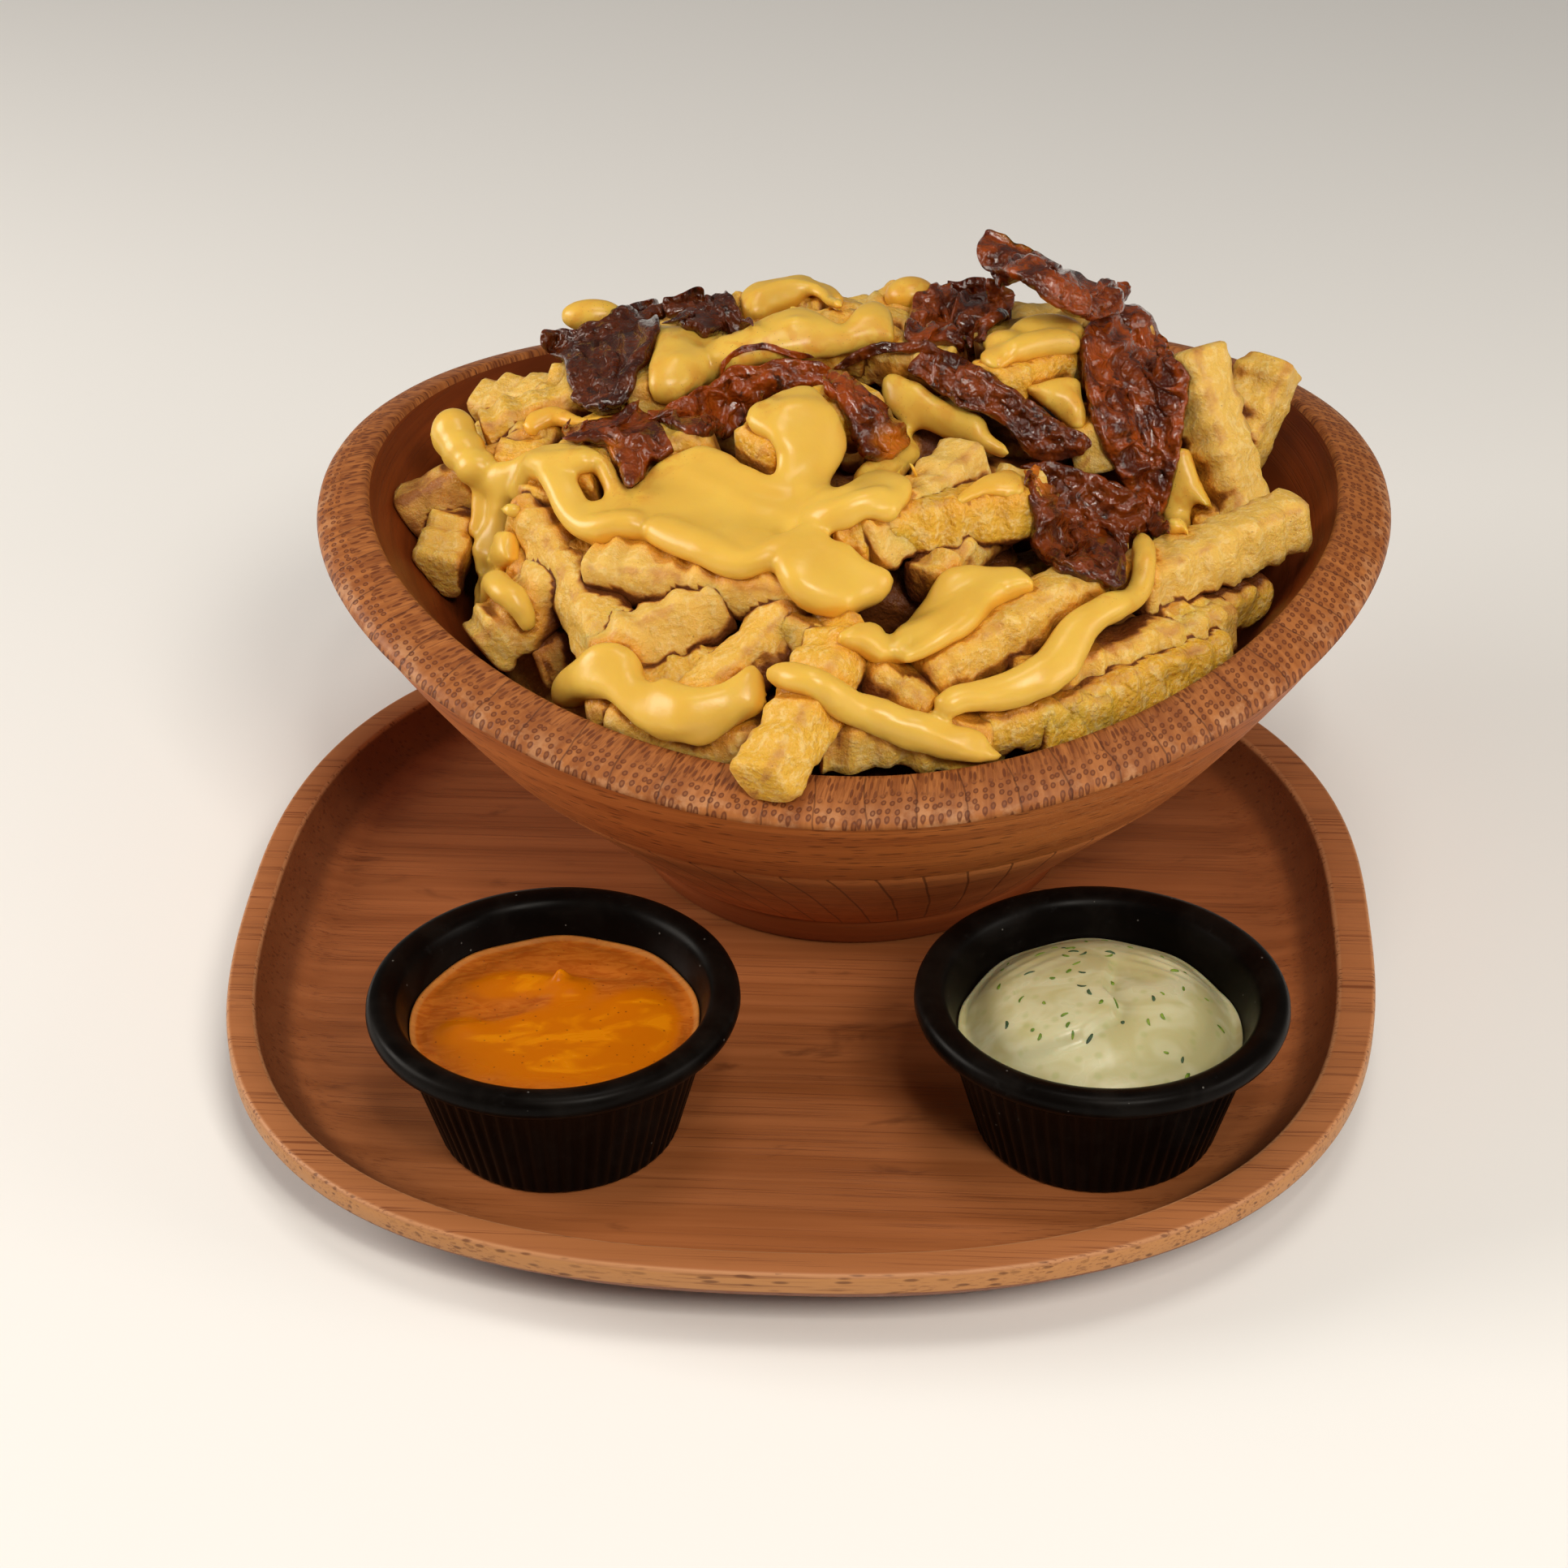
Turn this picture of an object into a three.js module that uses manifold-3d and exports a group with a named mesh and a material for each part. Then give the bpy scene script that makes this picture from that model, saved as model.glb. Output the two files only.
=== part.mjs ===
// Cheese fries: a bamboo bowl heaped with crinkle-cut fries, cheese sauce and browned onion,
// on a shallow bamboo tray with two fluted black sauce cups.
// Millimetres, +Z up, +Y away from the side that faces the diner.
// Everything is laid out from the centre of the tray on the table; the last lines move the
// whole so that the origin is the bottom centre of its bounding box.
import * as THREE from "three";
import { mergeVertices } from "three/addons/utils/BufferGeometryUtils.js";
import Module from "manifold-3d";

const wasm = await Module();
wasm.setup();

// Driving dimensions

const GAP = 0.3; // between pieces that touch
const DEG = Math.PI / 180;

const TRAY = {
  halfWidth: 120,
  squareness: 2.6, // 2 is a circle, higher is squarer
  turn: -3.9 * DEG,
  height: 17,
  floor: 7,
  rim: 6.5,
  hollowX: -1, // the hollow sits a little to the left, so the rim is narrower there
  band: 4.5, // upright edge under the rim, before the underside cuts in
  undercut: 16,
  wallRun: 12, // how far the inner wall runs in on its way down to the floor
};

const BOWL = {
  x: 11.4,
  y: 46.6,
  footRadius: 48.5,
  footHeight: 8,
  footFlare: 3.7,
  kneeRadius: 85, // where the lower band meets the upper wall
  kneeHeight: 41,
  rimHeight: 77.4, // mean height of the rim's outer edge over the foot
  wave: 7.6, // the rim is this much higher at the sides, and lower at front and back
  lean: 4.5, // the back of the rim is higher than the front
  slope: 0.8, // radius gained for each mm of height, above the knee
  curve: -0.003,
  rimWidth: 11.5,
  rimRise: 4.7, // the rim's inner edge over its outer edge
  innerFloor: 13,
  innerFloorRadius: 38,
};

const CUP = {
  height: 32,
  lipRadius: 36.5,
  footRadius: 24,
  shoulderRadius: 31.5, // just under the rolled lip
  shoulderHeight: 27.2,
  flutes: 60,
  fluteDepth: 0.6,
  places: { left: [-49.4, -60.8], right: [57.3, -62.6] },
};

const HEAP = {
  x: 8,
  y: 54,
  radius: 100,
  top: 117, // height of the middle of the uppermost fries
  edge: 66,
  fullness: 2.8,
};
const CORE_DEPTH = 4; // how far the core lies under the middle of the uppermost fries

const FRY = { side: 12.5, crinkle: 10, crinkleDepth: 1.1 };

// The fries that show: each runs from one end to the other, as x, y, z and x, y, z.
const FRIES = [
  // left side of the bowl, far to near
  [-69, 84, 94, -36, 66, 106],
  [-66, 55, 101, -32, 62, 110],
  [-79, 53, 86, -47, 52, 104],
  [-52, 21, 101, -33, 55, 108],
  [-52, 27, 100, -18, 29, 111],
  [-55, 23, 99, -37, -16, 87],
  [-56, 26, 92, -52, -7, 80],
  [-65, 2, 80, -45, 11, 94],
  [-56, -6, 80, -23, 0, 90],
  // front, left to right
  [-41, 2, 98, 2, -14, 101],
  [-40, -17, 87, 4, -4, 101],
  [-24, -22, 88, 20, -7, 104],
  [-41, -22, 78, -12, -22, 86],
  [-37, -26, 78, 0, -36, 79],
  [-8, -53, 81, 9, -20, 95],
  [-2, -17, 94, 24, -33, 83],
  [4, -35, 80, 35, -35, 78],
  [33, -31, 79, 58, -22, 79],
  [12, -6, 106, 34, 20, 111],
  [6, -4, 107, 46, 10, 106],
  [25, -7, 98, 46, 22, 104],
  // right side, near to far
  [45, -29, 79, 84, -2, 79],
  [42, -25, 85, 86, 4, 82],
  [24, -28, 88, 58, -5, 96],
  [35, -17, 88, 64, 4, 94],
  [67, 1, 92, 103, 27, 94],
  [72, -3, 84, 93, 21, 80],
  [84, 57, 118, 95, 39, 84],
  [94, 58, 93, 103, 70, 109],
  // top and back
  [-9, 19, 113, 14, 38, 115],
  [-29, 44, 114, -29, 76, 112],
  [40, 44, 116, 64, 66, 113],
  [-26, 74, 110, 2, 91, 119],
  [-2, 90, 119, 28, 78, 112],
  [2, 98, 108, 31, 94, 117],
  [60, 84, 107, 79, 92, 112],
  [-14, 56, 116, 18, 66, 118],
  [2, 72, 117, 33, 55, 117],
];
// Fries over the back of the heap, laid by rule in rows this far out from its middle.
const BACK_FRIES = { count: 13, rows: [78, 58], halfLength: 20, lengthSpread: 9 };

// Cheese sauce: each ribbon has a width and runs through x, y places on top of the heap.
const SAUCE_THICKNESS = 6;
const SAUCE_LIFT = 5.5; // middle of the sauce over the middle of the uppermost fries
const SAUCE = [
  [10, [-78, 70], [-74, 60], [-68, 47]],
  [7, [-62, 34], [-59, 19], [-64, 15], [-66, 10], [-59, 2], [-55, -6]],
  [8, [-63, 33], [-55, 32], [-47, 21], [-45, 12], [-41, 5]],
  [13, [-41, 5], [-31, 3], [-22, -6], [-11, -11], [-2, -11], [8, -5], [20, 0]],
  [14, [-33, 11], [-20, 7], [-8, 2], [2, 2]],
  [16, [-8, 13], [0, 15], [6, 6], [6, -4]],
  [16, [-4, -15], [5, -18], [15, -15]],
  [9, [-36, -19], [-44, -19], [-46, -23], [-36, -27], [-28, -32], [-20, -34], [-11, -34], [-7, -31]],
  [9, [-5, -32], [4, -34], [14, -38], [25, -39], [34, -39]],
  [9, [19, -28], [26, -23], [31, -16], [41, -13]],
  [7, [5, -27], [14, -28]],
  [10, [67, 4], [64, -7], [54, -16], [47, -25], [36, -31], [27, -35]],
  [14, [-30, 54], [-24, 45], [-13, 45]],
  [11, [-13, 86], [-2, 91], [9, 87], [20, 80]],
  [14, [27, 24], [34, 20], [41, 15]],
  [12, [42, 44], [50, 56], [57, 66]],
  [8, [82, 38], [80, 28], [80, 18]],
  [9, [-51, 82], [-43, 86], [-34, 86]],
];

// Browned onion: each strip runs through x, y, lift over the heap, width.
const ONION_THICKNESS = 6.5;
const ONIONS = {
  onion_back_left: [
    [-43, 44, 9, 16], [-45, 58, 10, 25], [-37, 71, 10, 23], [-22, 71, 10, 18], [-9, 63, 10, 10],
  ],
  onion_left: [[-52, 30, 8, 7], [-42, 28, 9, 16], [-34, 19, 9, 17], [-32, 9, 8, 9]],
  onion_strip: [
    [-26, 27, 9, 12], [-16, 27, 10, 20], [-4, 31, 10, 20], [6, 29, 10, 14], [14, 19, 10, 16], [21, 8, 8, 10],
  ],
  onion_diagonal: [
    [10, 40, 9, 8], [21, 43, 10, 14], [32, 36, 10, 22], [42, 27, 10, 24], [51, 19, 9, 20], [57, 17, 9, 12],
  ],
  onion_back: [[17, 61, 9, 14], [28, 64, 11, 26], [41, 70, 11, 20], [47, 73, 10, 12]],
  onion_top: [[40, 86, 22, 9], [49, 81, 21, 13], [60, 77, 18, 13], [72, 82, 17, 7]],
  onion_right: [[66, 73, 9, 13], [67, 61, 10, 25], [69, 46, 10, 27], [71, 31, 10, 22], [73, 18, 9, 11]],
  onion_front_right: [[47, 11, 9, 11], [53, 4, 9, 21], [59, -4, 9, 23], [63, -12, 8, 12]],
};

// Colours and finishes from the photo

const finish = (color, roughness) => new THREE.MeshStandardMaterial({ color, roughness, metalness: 0 });
const FINISHES = {
  trayBamboo: finish(0x9a5f38, 0.5),
  bowlBamboo: finish(0x96532c, 0.45),
  fries: finish(0xd9a95b, 0.6),
  onion: finish(0x4a1a0c, 0.25),
  cup: finish(0x14110f, 0.35),
  orangeDip: finish(0xd8820a, 0.3),
  herbDip: finish(0xc9c59b, 0.35),
};

// Geometry helpers

/** A repeatable row of numbers between 0 and 1. */
function seededRandom(seed) {
  let state = seed;
  return () => {
    state = (state * 1664525 + 1013904223) % 4294967296;
    return state / 4294967296;
  };
}

/** A closed skin over rings of points, all with as many points, with a fan over each end. */
function loft(rings) {
  const count = rings[0].length;
  const middle = (ring) => ring.reduce((sum, p) => sum.add(p), new THREE.Vector3()).divideScalar(count);
  const points = [...rings.flat(), middle(rings[0]), middle(rings.at(-1))];
  const last = (rings.length - 1) * count;
  const startHub = rings.length * count;
  const endHub = startHub + 1;
  const index = [];
  for (let i = 0; i < count; i += 1) {
    const j = (i + 1) % count;
    index.push(startHub, j, i, endHub, last + i, last + j);
    for (let r = 0; r < last; r += count) {
      index.push(r + i, r + j, r + count + j, r + i, r + count + j, r + count + i);
    }
  }
  const geometry = new THREE.BufferGeometry().setFromPoints(points);
  return geometry.setIndex(index);
}

/** Rings round the Z axis at x, y: radiusAt and heightAt give each point from its angle. */
function ringOf(count, x, y, radiusAt, heightAt) {
  return Array.from({ length: count }, (_, i) => {
    const angle = (i / count) * 2 * Math.PI;
    const radius = radiusAt(angle);
    const z = heightAt(angle, radius);
    return new THREE.Vector3(x + radius * Math.cos(angle), y + radius * Math.sin(angle), z);
  });
}

/** A solid that can be joined and cut, from a closed geometry. */
function toSolid(geometry) {
  const merged = mergeVertices(geometry, 1e-4);
  return new wasm.Manifold(
    new wasm.Mesh({
      numProp: 3,
      vertProperties: new Float32Array(merged.attributes.position.array),
      triVerts: new Uint32Array(merged.index.array),
    }),
  );
}

/** A solid without the slivers that joins and cuts leave: no point moves by more than reach. */
const withoutSlivers = (solid, reach) => solid.asOriginal().simplify(reach);

/** The largest body of a solid, as a geometry. */
function toGeometry(solid) {
  const bodies = withoutSlivers(solid, GAP / 3).decompose();
  const body = bodies.reduce((a, b) => (a.volume() > b.volume() ? a : b));
  const mesh = body.getMesh();
  return new THREE.BufferGeometry()
    .setAttribute("position", new THREE.BufferAttribute(new Float32Array(mesh.vertProperties), 3))
    .setIndex(new THREE.BufferAttribute(new Uint32Array(mesh.triVerts), 1));
}

const joined = (solids) => solids.reduce((a, b) => a.add(b));

/** A tube along points: sectionAt gives the outline (across, up) at each point in turn. */
function sweep(points, sectionAt) {
  const up = new THREE.Vector3(0, 0, 1);
  const rings = points.map((p, k) => {
    const along = points[Math.min(k + 1, points.length - 1)].clone().sub(points[Math.max(k - 1, 0)]);
    along.normalize();
    const across = new THREE.Vector3().crossVectors(up, along).normalize();
    const over = new THREE.Vector3().crossVectors(along, across);
    return sectionAt(k).map(([a, b]) => p.clone().addScaledVector(across, a).addScaledVector(over, b));
  });
  return loft(rings);
}

// Tray

const TRAY_SIDES = 52;

function trayRing(inset, z, x = 0) {
  const half = TRAY.halfWidth - inset;
  const power = TRAY.squareness;
  const radiusAt = (angle) => {
    const a = angle - TRAY.turn;
    return half / (Math.abs(Math.cos(a)) ** power + Math.abs(Math.sin(a)) ** power) ** (1 / power);
  };
  return ringOf(TRAY_SIDES, x, 0, radiusAt, () => z);
}

/** A carved slab: undercut base, upright band, flat rim, and a hollow wall down to a flat floor. */
function tray() {
  const { height, floor, rim, band, undercut, wallRun, hollowX } = TRAY;
  const rounding = 0.8;
  const hollow = (run, z) => trayRing(rim + wallRun * run, z, hollowX);
  return loft([
    trayRing(undercut, 0),
    trayRing(undercut * 0.45, (height - band) * 0.45),
    trayRing(0, height - band),
    trayRing(0, height - rounding),
    trayRing(rounding, height),
    hollow(0, height),
    hollow(0.16, height - 3.2),
    hollow(0.42, floor + 3),
    hollow(0.75, floor + 0.8),
    hollow(1, floor),
  ]);
}

// Bowl

const BOWL_SIDES = 48;
const BOWL_BASE = TRAY.floor + GAP;
const kneeZ = BOWL_BASE + BOWL.kneeHeight;

/** Height of the rim's outer edge at an angle round the bowl. */
function rimZ(angle) {
  return BOWL_BASE + BOWL.rimHeight + BOWL.wave * Math.cos(2 * angle) + BOWL.lean * Math.sin(angle);
}

/** Radius of the bowl's outer wall at a height, above the foot. */
function outerRadius(z) {
  const rise = z - kneeZ;
  if (rise > 0) return BOWL.kneeRadius + BOWL.slope * rise + BOWL.curve * rise * rise;
  const waist = BOWL.footRadius + BOWL.footFlare;
  const share = (z - BOWL_BASE - BOWL.footHeight) / (BOWL.kneeHeight - BOWL.footHeight);
  return waist + share * (BOWL.kneeRadius - waist);
}

const innerRadius = (z) => outerRadius(z - BOWL.rimRise) - BOWL.rimWidth;

function bowlRing(radiusAt, heightAt) {
  return ringOf(BOWL_SIDES, BOWL.x, BOWL.y, radiusAt, heightAt);
}

/** The bowl, or with grow the space that others keep clear of. */
function bowl(grow = 0) {
  const rounding = 1.2;
  const innerFloorZ = BOWL_BASE + BOWL.innerFloor + grow;
  const lowInner = innerFloorZ + 6;
  const wall = (share) => {
    const z = (angle) => kneeZ + share * (rimZ(angle) - kneeZ);
    return bowlRing((angle) => outerRadius(z(angle)) + grow, z);
  };
  const inner = (share) => {
    const z = (angle) => lowInner + share * (rimZ(angle) + BOWL.rimRise - lowInner);
    return bowlRing((angle) => innerRadius(z(angle)) - grow, z);
  };
  return loft([
    bowlRing(() => BOWL.footRadius + grow, () => BOWL_BASE - grow),
    bowlRing(() => BOWL.footRadius + BOWL.footFlare + grow, () => BOWL_BASE + BOWL.footHeight),
    wall(0),
    wall(0.5),
    wall(0.96),
    bowlRing((a) => outerRadius(rimZ(a)) + grow - rounding / 2, (a) => rimZ(a) + grow + rounding / 2),
    bowlRing(
      (a) => outerRadius(rimZ(a)) - BOWL.rimWidth + rounding - grow,
      (a) => rimZ(a) + BOWL.rimRise + grow,
    ),
    inner(0.97),
    inner(0.5),
    inner(0),
    bowlRing(() => BOWL.innerFloorRadius - grow, () => innerFloorZ),
  ]);
}

// Sauce cups and dips

const CUP_BASE = TRAY.floor + GAP;
const CUP_SIDES = 24;
const CUP_WALL = [[21.4, 2.8], [22.6, 4.2], [26, 14], [29.3, 27]]; // inside, radius and height

/** Radius of the cup's inside at a height over its foot. */
function cupInside(z) {
  const upper = CUP_WALL.findIndex(([, h]) => h >= z);
  const [r1, z1] = CUP_WALL[Math.max(upper, 1)];
  const [r0, z0] = CUP_WALL[Math.max(upper, 1) - 1];
  return r0 + ((z - z0) / (z1 - z0)) * (r1 - r0);
}

/** A turned solid from a profile of radius and height that starts and ends on the axis. */
function turned(profile, sides) {
  const outline = profile.map(([r, z]) => new THREE.Vector2(r, z));
  const geometry = new THREE.LatheGeometry(outline, sides).deleteAttribute("uv").deleteAttribute("normal");
  return toSolid(geometry.rotateX(Math.PI / 2));
}

/** A tapered body with a fluted side, a rolled lip round its top, and a smooth inside. */
function cup() {
  const steps = CUP.flutes * 2;
  const fluted = (radius, z) =>
    Array.from({ length: steps }, (_, i) => {
      const r = radius - (i % 2) * CUP.fluteDepth;
      const angle = (i / steps) * 2 * Math.PI;
      return new THREE.Vector3(r * Math.cos(angle), r * Math.sin(angle), z);
    });
  const { footRadius, shoulderRadius, shoulderHeight, lipRadius, height } = CUP;
  const body = toSolid(loft([fluted(footRadius, 0), fluted(shoulderRadius, shoulderHeight)]));
  const lip = [[0, 26.8], [35.6, 26.8], [lipRadius, 29], [35.6, 31.4], [33.5, height], [0, height]];
  const inside = [[0, CUP_WALL[0][1]], ...CUP_WALL, [30.3, 31], [33.6, height + 1], [0, height + 1]];
  return body.add(turned(lip, CUP_SIDES)).subtract(turned(inside, CUP_SIDES));
}

/** Dip that fills a cup up to level, with its top raised by heightAt(x, y, share of the radius). */
function dip(level, heightAt) {
  const ring = (radius, z) => ringOf(CUP_SIDES, 0, 0, () => radius, () => z);
  const top = (share) => {
    const radius = share * (cupInside(level) - GAP);
    const rise = (x, y) => level + heightAt(x, y, share);
    return ring(radius, 0).map((p) => p.setZ(rise(p.x, p.y)));
  };
  const floor = CUP_WALL[0][1] + GAP;
  const side = (z) => ring(cupInside(z) - GAP, z);
  const bottom = ring(CUP_WALL[0][0] - GAP, floor);
  return loft([bottom, side(14), side(level - 1), top(1), top(0.75), top(0.45), top(0.18)]);
}

const hump = (x, y, cx, cy, width) => Math.exp(-((x - cx) ** 2 + (y - cy) ** 2) / width ** 2);

// Orange dip: nearly level, with a low swell and a small peak where the spoon left it.
const orangeTop = (x, y, share) => {
  const peak = 2.2 * hump(x, y, 1, 6, 3.5);
  const swell = 0.6 * hump(x, y, -14, 6, 9);
  return 0.8 * (1 - share) + peak + swell;
};

// Herb dip: heaped up, highest a little behind the middle, with a fold that runs across it.
const herbTop = (x, y, share) => {
  const fold = Math.tanh((y - 0.7 * x - 2) / 3);
  const fromPeak = Math.hypot(x, y - 3) / 26.5;
  return Math.max(0, 6.2 * (1 - fromPeak ** 3.4)) + 0.4 * fold * (1 - share);
};

// Heap of fries

/** Height of the middle of the uppermost fries. */
function heapZ(x, y) {
  const share = Math.hypot(x - HEAP.x, y - HEAP.y) / HEAP.radius;
  return HEAP.edge + (HEAP.top - HEAP.edge) * (1 - share ** HEAP.fullness);
}

/** What lies under the showing fries: the bowl's inside, filled up to just under them. */
function heapCore() {
  const sides = 28;
  const clear = GAP + 0.25;
  const floorZ = BOWL_BASE + BOWL.innerFloor + GAP;
  const well = (z) => ringOf(sides, BOWL.x, BOWL.y, () => innerRadius(z) - clear, () => z);
  const filling = toSolid(
    loft([
      ringOf(sides, BOWL.x, BOWL.y, () => BOWL.innerFloorRadius - clear, () => floorZ),
      well(floorZ + 6),
      well(60),
      well(HEAP.top),
    ]),
  );
  const dome = (share) =>
    ringOf(sides, HEAP.x, HEAP.y, () => share * HEAP.radius * 1.1, () => 0).map((p) =>
      p.setZ(heapZ(p.x, p.y) - CORE_DEPTH),
    );
  const skirt = dome(1).map((p) => p.clone().setZ(0));
  const mound = toSolid(loft([skirt, dome(1), dome(0.85), dome(0.65), dome(0.4)]));
  return filling.intersect(mound);
}

/** One crinkle-cut fry from end to end: a square bar whose four sides swell and dip together. */
function fry([ax, ay, az, bx, by, bz], random) {
  const start = new THREE.Vector3(ax, ay, az);
  const end = new THREE.Vector3(bx, by, bz);
  const length = start.distanceTo(end);
  const steps = Math.max(4, Math.round(length / (FRY.crinkle / 2)));
  const bow = new THREE.Vector3(random() - 0.5, random() - 0.5, random() - 0.3).multiplyScalar(length * 0.06);
  const points = Array.from({ length: steps + 1 }, (_, k) => {
    const share = k / steps;
    return start.clone().lerp(end, share).addScaledVector(bow, 4 * share * (1 - share));
  });
  const width = FRY.side * (0.92 + 0.14 * random());
  const depth = FRY.side * (0.92 + 0.14 * random());
  const roll = (random() - 0.5) * 40 * DEG;
  const corners = [[1, -1], [1, 1], [-1, 1], [-1, -1]];
  return toSolid(
    sweep(points, (k) => {
      const swell = (k % 2 ? 1 : -1) * FRY.crinkleDepth;
      return corners.map(([a, b]) => {
        const across = a * (width + swell) / 2;
        const up = b * (depth + swell) / 2;
        return [across * Math.cos(roll) - up * Math.sin(roll), across * Math.sin(roll) + up * Math.cos(roll)];
      });
    }),
  );
}

/** The ends of the fries over the back of the heap, which lie roughly along its rim. */
function backFries(random) {
  const { count, rows, halfLength, lengthSpread } = BACK_FRIES;
  const firstAngle = -10;
  const sweepAngle = 200;
  return Array.from({ length: count }, (_, k) => {
    const angle = (firstAngle + (sweepAngle * (k + 0.5)) / count + 8 * (random() - 0.5)) * DEG;
    const out = rows[k % rows.length];
    const x = HEAP.x + out * Math.cos(angle);
    const y = HEAP.y + out * Math.sin(angle);
    const heading = angle + (90 + 60 * (random() - 0.5)) * DEG;
    const half = halfLength + lengthSpread * random();
    return [-half, half].flatMap((d) => {
      const endX = x + d * Math.cos(heading);
      const endY = y + d * Math.sin(heading);
      return [endX, endY, heapZ(endX, endY) + 3 * random()];
    });
  });
}

/** A soft flat oval of six or eight corners. */
function oval(sides, width, thickness) {
  return Array.from({ length: sides }, (_, i) => {
    const angle = ((i + 0.5) / sides) * 2 * Math.PI;
    return [(width / 2) * Math.cos(angle) / Math.cos(Math.PI / sides), (thickness / 2) * Math.sin(angle)];
  });
}

/** One ribbon of cheese sauce, draped over the heap, with rounded ends. */
function sauce([width, ...places]) {
  const curve = new THREE.CatmullRomCurve3(
    places.map(([x, y]) => new THREE.Vector3(x, y, heapZ(x, y) + SAUCE_LIFT)),
  );
  const steps = Math.max(4, Math.round(curve.getLength() / 8));
  const points = curve.getSpacedPoints(steps);
  return toSolid(
    sweep(points, (k) => {
      const share = (2 * k) / steps - 1;
      const fade = Math.max(0.3, Math.sqrt(1 - Math.abs(share) ** 3));
      return oval(6, width * fade, SAUCE_THICKNESS * fade);
    }),
  );
}

/** One strip of browned onion, crumpled and uneven, or with grow the space kept clear round it. */
function onion(places, grow = 0) {
  const random = seededRandom(places.length * 977 + Math.round(places[0][0]));
  const line = (pick) => new THREE.CatmullRomCurve3(places.map(pick));
  const route = line(([x, y, lift]) => new THREE.Vector3(x, y, heapZ(x, y) + lift));
  const widths = line(([, , , width], k) => new THREE.Vector3(k, width, 0));
  const steps = Math.round(route.getLength() / 6);
  const points = Array.from({ length: steps + 1 }, (_, k) => {
    const p = route.getPoint(k / steps);
    return p.add(new THREE.Vector3(random() - 0.5, random() - 0.5, random() - 0.5).multiplyScalar(1.5));
  });
  const along = points[1].clone().sub(points[0]).setLength(grow);
  points[0].sub(along);
  points[steps].add(points[steps].clone().sub(points[steps - 1]).setLength(grow));
  const sections = points.map((_, k) => {
    const taper = k === 0 || k === steps ? 0.55 : 1;
    const width = widths.getPoint(k / steps).y * (0.85 + 0.3 * random());
    const thickness = ONION_THICKNESS * taper * (0.75 + 0.5 * random());
    return oval(8, width, thickness).map(([a, b]) => {
      const rough = 0.85 + 0.3 * random();
      const size = Math.hypot(a, b);
      const scale = (size * rough + grow) / size;
      return [a * scale, b * scale];
    });
  });
  return toSolid(sweep(points, (k) => sections[k]));
}

// Assembly: toppings are cut clear of the ones laid before them, and the fries of all of them.

const plate = new THREE.Group();

function addPiece(name, geometry, material, x = 0, y = 0, z = 0) {
  const mesh = new THREE.Mesh(geometry, material);
  mesh.name = name;
  mesh.position.set(x, y, z);
  plate.add(mesh);
}

addPiece("tray", tray(), FINISHES.trayBamboo);
addPiece("bowl", bowl(), FINISHES.bowlBamboo);

const kept = Object.entries(ONIONS).map(([name, places]) => {
  return { name, places, clear: onion(places, GAP + 0.1) };
});
kept.forEach(({ name, places }, k) => {
  const cut = kept.slice(0, k).reduce((solid, other) => solid.subtract(other.clear), onion(places));
  addPiece(name, toGeometry(cut), FINISHES.onion);
});

const random = seededRandom(1311);
const heap = joined([
  heapCore(),
  ...FRIES.map((ends) => fry(ends, random)),
  ...backFries(random).map((ends) => fry(ends, random)),
  ...SAUCE.map(sauce),
]);
const clearOf = [toSolid(bowl(GAP + 0.1)), ...kept.map((k) => k.clear)];
const fries = clearOf.reduce((solid, other) => solid.subtract(other), withoutSlivers(heap, GAP * 1.2));
addPiece("fries", toGeometry(fries), FINISHES.fries);

Object.entries(CUP.places).forEach(([side, [x, y]]) => {
  addPiece(`cup_${side}`, toGeometry(cup()), FINISHES.cup, x, y, CUP_BASE);
});
addPiece("dip_orange", dip(23.5, orangeTop), FINISHES.orangeDip, ...CUP.places.left, CUP_BASE);
addPiece("dip_herb", dip(21, herbTop), FINISHES.herbDip, ...CUP.places.right, CUP_BASE);

const middle = new THREE.Box3().setFromObject(plate).getCenter(new THREE.Vector3());
plate.position.set(-middle.x, -middle.y, 0);

const cheeseFries = new THREE.Group();
cheeseFries.add(plate);

export default cheeseFries;
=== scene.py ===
import math

import bpy
import numpy as np
from mathutils import Matrix, Vector, noise
from mathutils.bvhtree import BVHTree
from mathutils.kdtree import KDTree


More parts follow.
